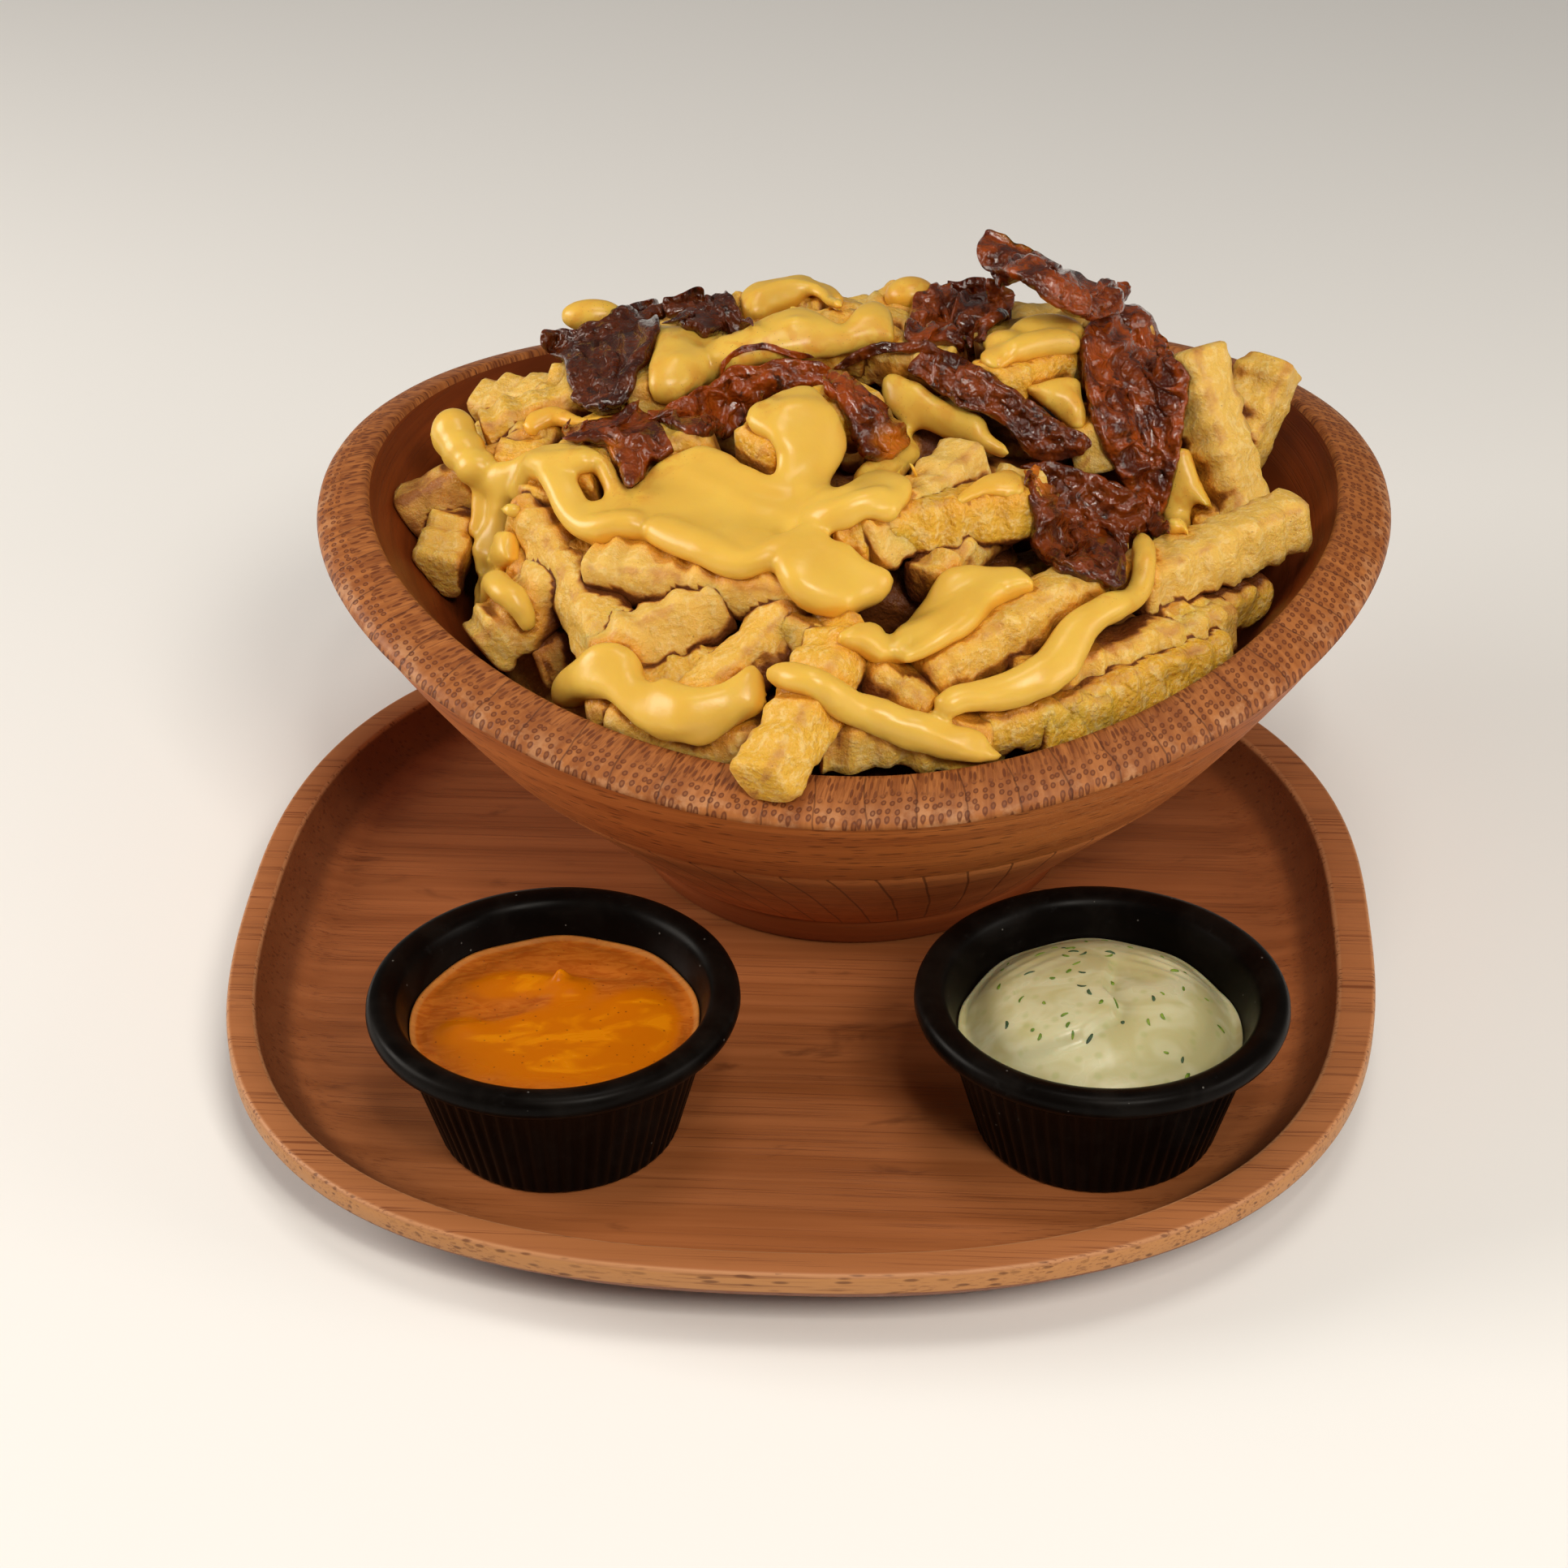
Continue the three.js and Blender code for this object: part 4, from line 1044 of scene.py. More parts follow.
def mound():
    """The unseen middle of the heap: the bowl's inside, filled up to the second layer."""
    count = 72
    low = BOWL["base"] + BOWL["inner_floor"] + 0.4
    rings = [round_ring(count, BOWL["x"], BOWL["y"], BOWL["inner_floor_radius"] - 1, low)]
    for z in (low + 6, 40, 56):
        rings.append(round_ring(count, BOWL["x"], BOWL["y"], inner_radius(z) - 0.7, z))
    for share in (0.86, 0.78, 0.68, 0.56, 0.42, 0.28, 0.12):
        ring = round_ring(count, HEAP["x"], HEAP["y"] - 3 * share, share * HEAP["radius"], 0)
        ring[:, 2] = np.maximum(heap_z(ring[:, 0], ring[:, 1]) - MOUND["under"], MOUND["lowest"])
        rings.append(ring)
    vertices, faces = skin(rings)
    vertices = keep_clear_of_bowl(vertices)
    for i, v in enumerate(vertices):
        if v[2] > MOUND["lowest"] - 1:
            vertices[i][2] += 2.5 * noise.noise(Vector(v / 9))
    # Its browning is set high all over: painted shade for the depth of the heap.
    return vertices, faces, np.full(len(vertices), 0.75)


fry_draw = repeatable(SHOWN_SEED)
shown_fries = [fry(ends, fry_draw) for ends in FRIES]
shown_fries += [fry(ends, fry_draw) for ends in list(back_fries(fry_draw))]
lower_draw = repeatable(LOWER_SEED)
hidden_fries = [fry(ends, lower_draw, 1.7, 20) for ends in list(lower_fries(lower_draw))]
hidden_fries.append(mound())
fry_points, fry_faces = joined(shown_fries + hidden_fries)

# Cheese sauce
# A thick, smooth, warm yellow sauce, poured over the fries so that it hangs in soft sheets and
# rounded ribbons that run into each other. Both follow the heap where the photograph shows them.
SAUCE_SHEETS = {
    # name: thickness in millimetres and outline in pixels of the photograph
    "body": (3.6, [
        (581, 707), (581, 689), (589, 676), (603, 662), (611, 646), (609, 632), (611, 619), (598, 606),
        (596, 589), (603, 574), (619, 566), (636, 566), (652, 558), (679, 554), (706, 552), (725, 554),
        (742, 560), (757, 572), (768, 596), (779, 604), (788, 597), (805, 576), (825, 563), (845, 556),
        (871, 551), (891, 556), (908, 562), (922, 580), (938, 590), (954, 586), (957, 566), (945, 545),
        (926, 536), (918, 531), (923, 510), (941, 493), (961, 485), (987, 481), (1008, 486), (1025, 508),
        (1038, 534), (1042, 555), (1034, 577), (1025, 590), (1024, 606), (1034, 612), (1047, 606),
        (1060, 594), (1086, 588), (1107, 590), (1127, 599), (1127, 614), (1112, 633), (1099, 649),
        (1068, 643), (1047, 644), (1025, 655), (1003, 664), (973, 677), (962, 690), (951, 706),
        (928, 710), (901, 708), (878, 700), (855, 692), (832, 682), (812, 676), (792, 667), (769, 662),
        (752, 667), (732, 671), (715, 667), (702, 650), (692, 626), (682, 604), (676, 594), (662, 594),
        (651, 603), (646, 616), (646, 629), (643, 641), (633, 646), (634, 659), (637, 679), (634, 692),
        (623, 704), (606, 706), (590, 716),
    ]),
    "blob": (4.4, [
        (952, 700), (960, 685), (973, 668), (999, 657), (1021, 659), (1029, 668), (1051, 681),
        (1073, 692), (1092, 700), (1100, 712), (1096, 730), (1083, 747), (1060, 756), (1029, 760),
        (1003, 758), (982, 749), (966, 733), (956, 716),
    ]),
    "drop_end": (3.4, [
        (580, 735), (583, 722), (596, 708), (613, 704), (629, 710), (643, 725), (652, 745), (657, 765),
        (655, 782), (646, 789), (642, 778), (635, 758), (622, 742), (606, 735), (590, 744),
    ]),
    "front_loop": (4.2, [
        (689, 861), (691, 841), (701, 826), (721, 811), (731, 800), (745, 790), (765, 790), (785, 803),
        (795, 817), (793, 828), (799, 840), (812, 843), (825, 836), (845, 845), (865, 848), (888, 844),
        (911, 831), (930, 818), (941, 828), (946, 841), (944, 856), (936, 879), (908, 895), (878, 906),
        (842, 911), (812, 909), (788, 898), (769, 881), (755, 866), (742, 862), (725, 864), (709, 876),
        (696, 874),
    ]),
    "front_ribbon": (3.8, [
        (945, 846), (948, 831), (965, 822), (985, 821), (1014, 829), (1046, 845), (1068, 861),
        (1102, 871), (1134, 876), (1160, 888), (1185, 901), (1216, 917), (1245, 931), (1226, 939),
        (1200, 942), (1174, 938), (1142, 927), (1100, 913), (1068, 899), (1042, 888), (1013, 870),
        (990, 858), (968, 852),
    ]),
    "leaf_thread": (3.0, [
        (1012, 791), (1029, 783), (1047, 771), (1068, 769), (1085, 779), (1090, 798), (1096, 818),
        (1086, 823), (1073, 817), (1060, 806), (1042, 801), (1025, 796),
    ]),
    "leaf": (4.2, [
        (1084, 808), (1086, 794), (1099, 780), (1120, 759), (1138, 738), (1151, 716), (1168, 701),
        (1190, 695), (1212, 700), (1238, 703), (1259, 709), (1274, 720), (1285, 733), (1264, 735),
        (1242, 741), (1225, 752), (1212, 768), (1194, 784), (1172, 795), (1146, 806), (1120, 815),
        (1099, 819), (1088, 816),
    ]),
    "right_ribbon": (4.0, [
        (1396, 663), (1411, 659), (1424, 666), (1426, 685), (1422, 712), (1416, 738), (1396, 750),
        (1382, 767), (1359, 777), (1347, 790), (1338, 811), (1325, 837), (1308, 850), (1290, 862),
        (1264, 866), (1242, 873), (1220, 878), (1192, 877), (1176, 887), (1156, 884), (1144, 862),
        (1165, 845), (1200, 838), (1236, 826), (1256, 815), (1266, 808), (1277, 803), (1290, 785),
        (1303, 768), (1320, 754), (1342, 744), (1363, 735), (1381, 728), (1390, 719), (1394, 703),
        (1388, 678),
    ]),
    "between_onions": (3.0, [
        (1036, 612), (1048, 592), (1056, 572), (1085, 556), (1108, 548), (1108, 524), (1090, 505),
        (1083, 470), (1099, 456), (1120, 464), (1145, 482), (1183, 501), (1208, 522), (1238, 545),
        (1252, 562), (1240, 568), (1208, 558), (1178, 546), (1158, 540), (1137, 529), (1124, 531),
        (1126, 550), (1134, 568), (1138, 592), (1110, 592), (1085, 593), (1060, 600),
    ]),
    "behind_diagonal": (2.4, [
        (1200, 445), (1240, 418), (1280, 402), (1322, 403), (1336, 424), (1330, 440), (1290, 442),
        (1250, 450), (1226, 464),
    ]),
    "behind_diagonal_low": (2.2, [
        (1250, 474), (1278, 470), (1306, 462), (1330, 466), (1334, 490), (1340, 512), (1338, 532),
        (1318, 534), (1300, 514), (1276, 494),
    ]),
    "beside_right_onion": (2.6, [
        (1440, 548), (1468, 548), (1476, 580), (1488, 606), (1502, 632), (1500, 652), (1478, 662),
        (1444, 668), (1428, 640), (1432, 612), (1438, 580),
    ]),
    "upper_band": (3.4, [
        (796, 490), (799, 457), (807, 436), (805, 412), (813, 400), (822, 411), (838, 409), (867, 414),
        (909, 417), (943, 398), (977, 381), (1006, 391), (1036, 403), (1052, 385), (1075, 377),
        (1094, 387), (1104, 410), (1107, 425), (1082, 430), (1044, 440), (1019, 443), (989, 447),
        (935, 452), (901, 464), (884, 470), (858, 482), (838, 497), (817, 501),
    ]),
    "top_lump": (3.0, [
        (908, 382), (912, 365), (930, 354), (955, 350), (985, 344), (1004, 348), (1030, 362), (1049, 380),
        (1042, 388), (1022, 374), (1000, 364), (990, 374), (975, 382), (957, 386), (945, 398), (925, 400),
        (911, 394),
    ]),
    "left_film": (1.2, [
        (583, 592), (600, 596), (606, 612), (607, 632), (600, 652), (586, 668), (572, 662), (576, 640),
        (578, 616),
    ]),
    "back_left_film": (1.4, [
        (636, 530), (650, 508), (686, 497), (706, 508), (722, 514), (748, 512), (752, 524), (712, 528),
        (680, 524), (656, 540),
    ]),
    "on_fry": (1.8, [
        (1162, 623), (1185, 602), (1212, 586), (1242, 579), (1260, 590), (1265, 613), (1248, 620),
        (1220, 613), (1198, 620), (1177, 630),
    ]),
}
SAUCE_GAPS = {
    # a hole in the sheets: a fry end that sticks out of the sauce, and a gap beside the right onion
    "fry_in_arch": [
        (712, 569), (709, 584), (721, 606), (729, 622), (745, 619), (742, 604), (730, 579), (720, 568),
    ],
    "by_onion": [
        (1468, 628), (1473, 622), (1482, 623), (1488, 632), (1489, 646), (1480, 652), (1470, 647),
        (1466, 637),
    ],
}
SAUCE_LUMPS = {
    # name: middle in photograph pixels, half its width and height there in pixels, half its depth
    # and how far it lies behind what it rests on, in millimetres
    "left": (559, 535, 29, 33, 5, -1),
    "left_mid": (571, 556, 29, 28, 5, -1),
    "left_low": (587, 576, 28, 24, 4.5, -1),
    "back_left": (730, 389, 40, 21, 4.5, 4),
    "back_peak": (1122, 366, 33, 26, 6, 5),
    "under_top_onion": (1290, 412, 48, 26, 6, 2),
    "under_top_onion_left": (1240, 424, 30, 18, 5, 1),
}
SAUCE_RIBBONS = {
    # name: photograph pixels along the ribbon and its width there in pixels
    "arch": [
        (736, 572, 30), (700, 570, 34), (668, 572, 36), (634, 588, 34), (626, 612, 28), (622, 640, 22),
        (614, 668, 34), (606, 694, 36),
    ],
    "drop_end": [(594, 732, 28), (614, 722, 36), (634, 738, 36), (646, 760, 28), (650, 780, 18)],
    "second_leg": [
        (664, 570, 30), (686, 600, 30), (702, 630, 34), (728, 650, 34), (765, 645, 36), (800, 648, 40),
    ],
    "river": [
        (800, 646, 44), (840, 662, 50), (890, 684, 46), (925, 693, 34), (965, 676, 36), (1010, 648, 36),
    ],
    "fold_low": [
        (820, 600, 26), (850, 588, 40), (888, 606, 36), (925, 628, 34), (965, 640, 30), (1000, 642, 24),
    ],
    "fold_high": [(838, 575, 26), (870, 568, 34), (905, 586, 30), (945, 606, 34), (985, 612, 34)],
    "peak": [
        (950, 520, 40), (980, 506, 56), (1008, 520, 60), (1014, 552, 54), (996, 590, 50), (990, 625, 40),
    ],
    "right_arm": [(990, 646, 40), (1030, 632, 40), (1065, 618, 38), (1098, 610, 36)],
    "blob": [(978, 690, 50), (1015, 706, 78), (1050, 716, 74), (1080, 712, 44)],
    "front_loop": [
        (712, 848, 34), (730, 828, 40), (756, 818, 40), (776, 850, 44), (806, 876, 46), (850, 884, 48),
        (896, 872, 46), (924, 852, 36),
    ],
    "front_ribbon": [
        (958, 838, 22), (985, 836, 30), (1018, 850, 36), (1066, 876, 40), (1120, 898, 42),
        (1170, 914, 36), (1222, 930, 22),
    ],
    "leaf_thread": [(1034, 788, 12), (1062, 786, 22), (1080, 802, 20)],
    "leaf": [(1096, 806, 18), (1124, 784, 26), (1150, 758, 34), (1172, 724, 36), (1200, 712, 26)],
    "leaf_low": [
        (1104, 812, 14), (1150, 792, 24), (1186, 768, 30), (1206, 742, 30), (1236, 722, 26),
        (1262, 722, 16),
    ],
    "right_ribbon": [
        (1410, 680, 26), (1408, 715, 28), (1392, 740, 28), (1350, 758, 34), (1322, 780, 40),
        (1298, 815, 42), (1270, 842, 44), (1232, 854, 42), (1196, 862, 34), (1168, 868, 22),
    ],
    "upper_blob": [(815, 450, 30), (838, 452, 52), (868, 446, 44), (910, 440, 32)],
    "upper_lump": [(960, 410, 40), (984, 400, 34), (1002, 412, 24)],
    "upper_right": [(1050, 404, 26), (1074, 396, 30), (1086, 412, 24)],
    "top_lump": [(922, 374, 26), (950, 362, 28), (984, 354, 22), (1014, 362, 14), (1036, 378, 12)],
    "left_fall": [
        (560, 530, 50), (566, 550, 54), (578, 568, 46), (592, 584, 36), (608, 596, 28), (622, 602, 24),
    ],
    "left_leg": [(628, 592, 34), (619, 618, 32), (616, 648, 32), (604, 676, 36), (590, 700, 34)],
    "beside_right_onion": [(1456, 560, 14), (1462, 590, 26), (1454, 622, 30), (1448, 650, 30)],
    "between_onions": [(1110, 480, 30), (1140, 500, 32), (1180, 520, 34), (1216, 540, 26)],
    "behind_diagonal": [(1236, 436, 26), (1270, 424, 34), (1310, 420, 34), (1332, 430, 22)],
    "behind_diagonal_low": [(1292, 484, 22), (1316, 494, 30), (1330, 518, 22)],
}
RIBBON_THICKNESS = 6.2
RIBBON_STEP = 1.3
RIBBON_SAG = 0.85  # share of the way that a ribbon's edges hang down to what is below
SAUCE_LIFT = 1.9
SHEET_EDGE = 3.4
SHEET_UNDERSIDE = 1.6
SAUCE_GRID = 4  # pixels between the points of a sheet
LONGEST_SPAN = 14  # a sheet tears where two of its points would be further apart
MELT_CELL = 0.78
MELT_SMOOTHING = 8
PX_PER_MM = 6.15  # at the middle of the heap
CELL = 1.25  # of the height grids, which cover the ground between these corners
GRID_LOW, GRID_HIGH = (-92.0, -72.0), (118.0, 142.0)
GRID_FLOOR = 55.0
SIGHT_REACH = (480, 860, 1.2)  # where a line of sight is tried: nearest, furthest and step
LINES_AT_ONCE = 1500
HEAP_REACH = 97  # how far from the bowl's middle sauce and onion lie
BEYOND_HEAP = 1e3


def surface_over(tree):
    """Height grid over the heap, seen from above."""
    xs = np.arange(GRID_LOW[0], GRID_HIGH[0], CELL)
    ys = np.arange(GRID_LOW[1], GRID_HIGH[1], CELL)
    grid = np.full((len(xs), len(ys)), GRID_FLOOR)
    for i, x in enumerate(xs):
        for j, y in enumerate(ys):
            hit = tree.ray_cast(Vector((x, y, 200)), Vector((0, 0, -1)))[0]
            if hit:
                grid[i, j] = hit.z
    return grid


def blurred(grid, times_over=1):
    for _ in range(times_over):
        padded = np.pad(grid, 1, mode="edge")
        grid = (padded[:-2, 1:-1] + padded[2:, 1:-1] + padded[1:-1, :-2] + padded[1:-1, 2:] + 2 * grid) / 6
    return grid


class Drape:
    """A soft sheet laid over the heap, which sags a little into its gaps in each round."""

    def __init__(self, tree, rounds):
        grid = surface_over(tree)
        laid = blurred(grid, 2)
        for _ in range(rounds):
            laid = np.maximum(laid - 0.02, blurred(np.maximum(laid, grid)))
        self.grid = blurred(laid, 3)
        self.smooth = blurred(self.grid, 12)

    def at(self, grid, x, y):
        u = np.clip((x - GRID_LOW[0]) / CELL, 0, grid.shape[0] - 1.001)
        v = np.clip((y - GRID_LOW[1]) / CELL, 0, grid.shape[1] - 1.001)
        i, j = np.int32(u), np.int32(v)
        s, t = u - i, v - j
        near = grid[i, j] * (1 - t) + grid[i, j + 1] * t
        far = grid[i + 1, j] * (1 - t) + grid[i + 1, j + 1] * t
        return near * (1 - s) + far * s

    def z(self, x, y):
        return self.at(self.grid, x, y)

    def normal(self, x, y):
        d = 2.0
        dx = (self.at(self.smooth, x + d, y) - self.at(self.smooth, x - d, y)) / (2 * d)
        dy = (self.at(self.smooth, x, y + d) - self.at(self.smooth, x, y - d)) / (2 * d)
        n = np.stack([-dx, -dy, np.ones_like(dx)], -1)
        return n / np.linalg.norm(n, axis=-1, keepdims=True)

    def seen(self, px, py, lift=0.0):
        """Where the camera's lines through pixels meet the sheet, or pass nearest above it."""
        px, py = (np.atleast_1d(np.asarray(p, float))[:, None] for p in (px, py))
        lines = sight_line(px, py)
        lifts = np.broadcast_to(lift, len(lines))[:, None]
        reach = np.arange(*SIGHT_REACH)
        found = []
        shares = len(lines) // LINES_AT_ONCE + 1
        for some, lift in zip(np.array_split(lines, shares), np.array_split(lifts, shares)):
            points = EYE + reach[None, :, None] * some[:, None, :]
            over = points[..., 2] - self.z(points[..., 0], points[..., 1]) - lift
            away = np.hypot(points[..., 0] - BOWL["x"], points[..., 1] - BOWL["y"]) > HEAP_REACH
            over = np.where(away, BEYOND_HEAP, over)
            first = np.argmax(over < 0, axis=1)
            row = np.arange(len(some))
            after, before = over[row, first], over[row, np.maximum(first - 1, 0)]
            back = np.where(before < BEYOND_HEAP, after / np.minimum(after - before, -1e-9), 0)
            met = reach[first] - back * (reach[1] - reach[0])
            met = np.where(after < 0, met, reach[np.argmin(over, axis=1)])
            found.append(EYE + met[:, None] * some)
        return np.vstack(found)

    def directions(self, line):
        """Along a line that follows the sheet, the way to its side and the way up from the sheet."""
        run = np.gradient(line, axis=0)
        run /= np.linalg.norm(run, axis=1, keepdims=True) + 1e-9
        normal = self.normal(line[:, 0], line[:, 1])
        side = np.cross(normal, run)
        side /= np.linalg.norm(side, axis=1, keepdims=True) + 1e-9
        return run, side, normal


def sheet(drape, outline, pitch, shape_at, gaps=(), rise=lambda px: 0.0):
    """A closed sheet over the heap inside an outline; shape_at gives its lower and upper side."""
    low, high = np.min(outline, 0) - pitch, np.max(outline, 0) + pitch
    columns, rows = np.arange(low[0], high[0], pitch), np.arange(low[1], high[1], pitch)
    px, py = np.meshgrid(columns, rows, indexing="ij")
    inside = inside_by(px, py, outline)
    for gap in gaps:
        inside = np.minimum(inside, -inside_by(px, py, gap))
    lower, upper, kept = shape_at(px, py, inside, inside > 0)
    middle = np.zeros((*px.shape, 3))
    middle[kept] = drape.seen(px[kept], py[kept], rise(px[kept]))
    normal = drape.normal(middle[..., 0], middle[..., 1])
    full = kept[:-1, :-1] & kept[1:, :-1] & kept[:-1, 1:] & kept[1:, 1:]
    spans = [middle[:-1, :-1] - middle[1:, 1:], middle[1:, :-1] - middle[:-1, 1:]]
    full &= np.max([np.linalg.norm(span, axis=-1) for span in spans], 0) < LONGEST_SPAN
    for _ in range(3):
        beside = np.pad(full, 1).astype(int)
        full &= beside[:-2, 1:-1] + beside[2:, 1:-1] + beside[1:-1, :-2] + beside[1:-1, 2:] > 1
    used = np.zeros_like(kept)
    for di, dj in ((0, 0), (1, 0), (0, 1), (1, 1)):
        used[di : used.shape[0] - 1 + di, dj : used.shape[1] - 1 + dj] |= full
    number = np.cumsum(used).reshape(used.shape) - 1
    count = int(used.sum())
    top, bottom = middle + upper[..., None] * normal, middle - lower[..., None] * normal
    vertices = np.vstack([top[used], bottom[used]])
    faces, edges = [], {}
    for i, j in zip(*np.nonzero(full)):
        q = [int(number[i, j]), int(number[i + 1, j]), int(number[i + 1, j + 1]), int(number[i, j + 1])]
        faces += [q[::-1], [v + count for v in q]]
        for a, b in zip(q, q[1:] + q[:1]):
            edges[a, b] = 1
    torn = np.array([(a, b) for a, b in edges if (b, a) not in edges])
    faces += [[a, b, b + count, a + count] for a, b in torn.tolist()]
    # The stepped outline is evened out along its edge.
    torn = np.vstack([torn, torn + count])
    for _ in range(3):
        total, neighbours = np.zeros_like(vertices), np.zeros(len(vertices))
        for here, there in (torn.T, torn.T[::-1]):
            np.add.at(total, here, vertices[there])
            np.add.at(neighbours, here, 1)
        met = neighbours > 0
        vertices[met] = 0.5 * vertices[met] + 0.5 * total[met] / neighbours[met, None]
    return vertices, faces


def sauce_shape(thickness):
    """Both sides of a sheet of sauce, whose edge is rounded."""

    def shape(px, py, inside, kept):
        share = np.clip(inside / PX_PER_MM / SHEET_EDGE, 0, 1)
        upper = thickness * np.sqrt(1 - (1 - share) ** 2) + 0.3
        return np.full_like(upper, SHEET_UNDERSIDE), upper, kept

    return shape


def through(points, spacing):
    """A smooth line through points, with a point about every so many millimetres."""
    points = np.asarray(points, float)
    padded = np.vstack([2 * points[0] - points[1], points, 2 * points[-1] - points[-2]])
    line = []
    for k in range(1, len(padded) - 2):
        p0, p1, p2, p3 = padded[k - 1 : k + 3]
        steps = max(2, round(np.linalg.norm((p2 - p1)[:3]) / spacing))
        squared, cubed = 2 * p0 - 5 * p1 + 4 * p2 - p3, 3 * p1 - p0 - 3 * p2 + p3
        for t in np.arange(steps) / steps:
            line.append(0.5 * (2 * p1 + (p2 - p0) * t + squared * t**2 + cubed * t**3))
    return np.array([*line, points[-1]])


def ribbon(drape, seen_points):
    """A rounded strip of sauce that follows the sheet along places seen in the photograph."""
    px, py, width = np.array(seen_points, float).T
    places = np.column_stack([drape.seen(px, py, SAUCE_LIFT), width / PX_PER_MM + 0.5])
    line = through(places, RIBBON_STEP)
    middle, width = line[:, :3], line[:, 3]
    run, side, _ = drape.directions(middle)
    normal = np.cross(run, side)
    angle = (np.arange(20) / 20 * 2 * math.pi)[:, None]
    rings = []
    last = len(line) - 1
    for k in range(last + 1):
        from_end = min(k, last - k) * RIBBON_STEP / max(width[k] / 2, 1)
        round_off = math.sqrt(max(0.06, 1 - max(0, 1 - from_end) ** 2))
        thick = min(RIBBON_THICKNESS, width[k] * 0.95) * round_off
        base = middle[k] + np.cos(angle) * (width[k] / 2 * round_off) * side[k]
        ring = base + np.sin(angle) * thick / 2 * normal[k]
        sag = drape.z(base[:, 0], base[:, 1]) + SAUCE_LIFT - base[:, 2]
        ring[:, 2] += np.clip(sag, -5, 3) * RIBBON_SAG
        rings.append(ring)
    return skin(rings)


def lump(drape, px, py, wide, high, deep, behind):
    """A rounded lump whose outline, from the photograph's side, is an oval of this size."""
    reach = drape.seen(px, py, 1.0)[0] - EYE
    distance = np.linalg.norm(reach)
    scale = distance / FOCAL_LENGTH_PX
    along = reach / distance
    sideways = np.array([1.0, 0.0, 0.0])
    up = np.cross(sideways, along)
    middle = EYE + reach + behind * along
    turn = (np.arange(24) / 24 * 2 * math.pi)[:, None]
    rings = []
    for lean in np.linspace(-1.45, 1.45, 13):
        ring = np.cos(turn) * math.cos(lean) * wide * scale * sideways
        ring = ring + np.sin(turn) * math.cos(lean) * high * scale * up
        rings.append(middle + ring - math.sin(lean) * deep * along)
    return skin(rings)


def fused(parts):
    """Parts melted into one smooth skin, as vertices in millimetres and faces."""
    vertices, faces = joined(parts)
    mesh = bpy.data.meshes.new("melt")
    mesh.from_pydata((vertices * MM).tolist(), [], faces)
    mass = add_object("melt", mesh)
    melt = mass.modifiers.new("melt", "REMESH")
    melt.mode = "VOXEL"
    melt.voxel_size = MELT_CELL * MM
    smooth = mass.modifiers.new("smooth", "SMOOTH")
    smooth.factor = 0.5
    smooth.iterations = MELT_SMOOTHING
    result = mass.evaluated_get(bpy.context.evaluated_depsgraph_get()).to_mesh()
    points = np.empty(len(result.vertices) * 3)
    result.vertices.foreach_get("co", points)
    faces = [list(p.vertices) for p in result.polygons]
    bpy.data.objects.remove(mass)
    return points.reshape(-1, 3) / MM, faces


def cheese_sauce():
    material, tree, shader = new_material(
        "cheese_sauce", IOR=1.45, Specular_IOR_Level=0.45, Subsurface_Weight=0.35, Subsurface_Scale=0.004
    )
    shader.inputs["Subsurface Radius"].default_value = (1.0, 0.5, 0.08)
    position = in_mm(tree)
    patch = cloud(position, 0.06, 2)
    base = mix(step(patch, 0.35, 0.65), colour(0.75, 0.48, 0.078), colour(0.71, 0.43, 0.064))
    near_onion, thin = marked(tree, "near_onion"), marked(tree, "thin")
    base = painted(base, colour(0.8, 0.36, 0.02), thin, 0.7)
    stained = times(near_onion, step(cloud(position, 0.22, 3, 0.6, 0.5), 0.45, 0.66))
    base = painted(base, colour(0.6, 0.2, 0.015), stained, 0.65)
    crumbs = specks(position, 1.3, (0.2, 0.12), (0.5, 0.56))
    base = painted(base, colour(0.15, 0.04, 0.01), crumbs, times(near_onion, 0.7))
    rough = plus(times(patch, 0.15), 0.24)
    dress(shader, base, rough, cloud(position, 0.25, 3, 0.5), 0.25, 0.5)
    return material


def surface_tree(points, faces):
    return BVHTree.FromPolygons([Vector(p) for p in points], faces)


drape = Drape(surface_tree(fry_points, fry_faces), 70)
poured = [ribbon(drape, seen) for seen in SAUCE_RIBBONS.values()]
poured += [lump(drape, *place) for place in SAUCE_LUMPS.values()]
for thickness, outline in SAUCE_SHEETS.values():
    poured.append(sheet(drape, outline, SAUCE_GRID, sauce_shape(thickness), SAUCE_GAPS.values()))
sauce_points, sauce_faces = fused(poured)

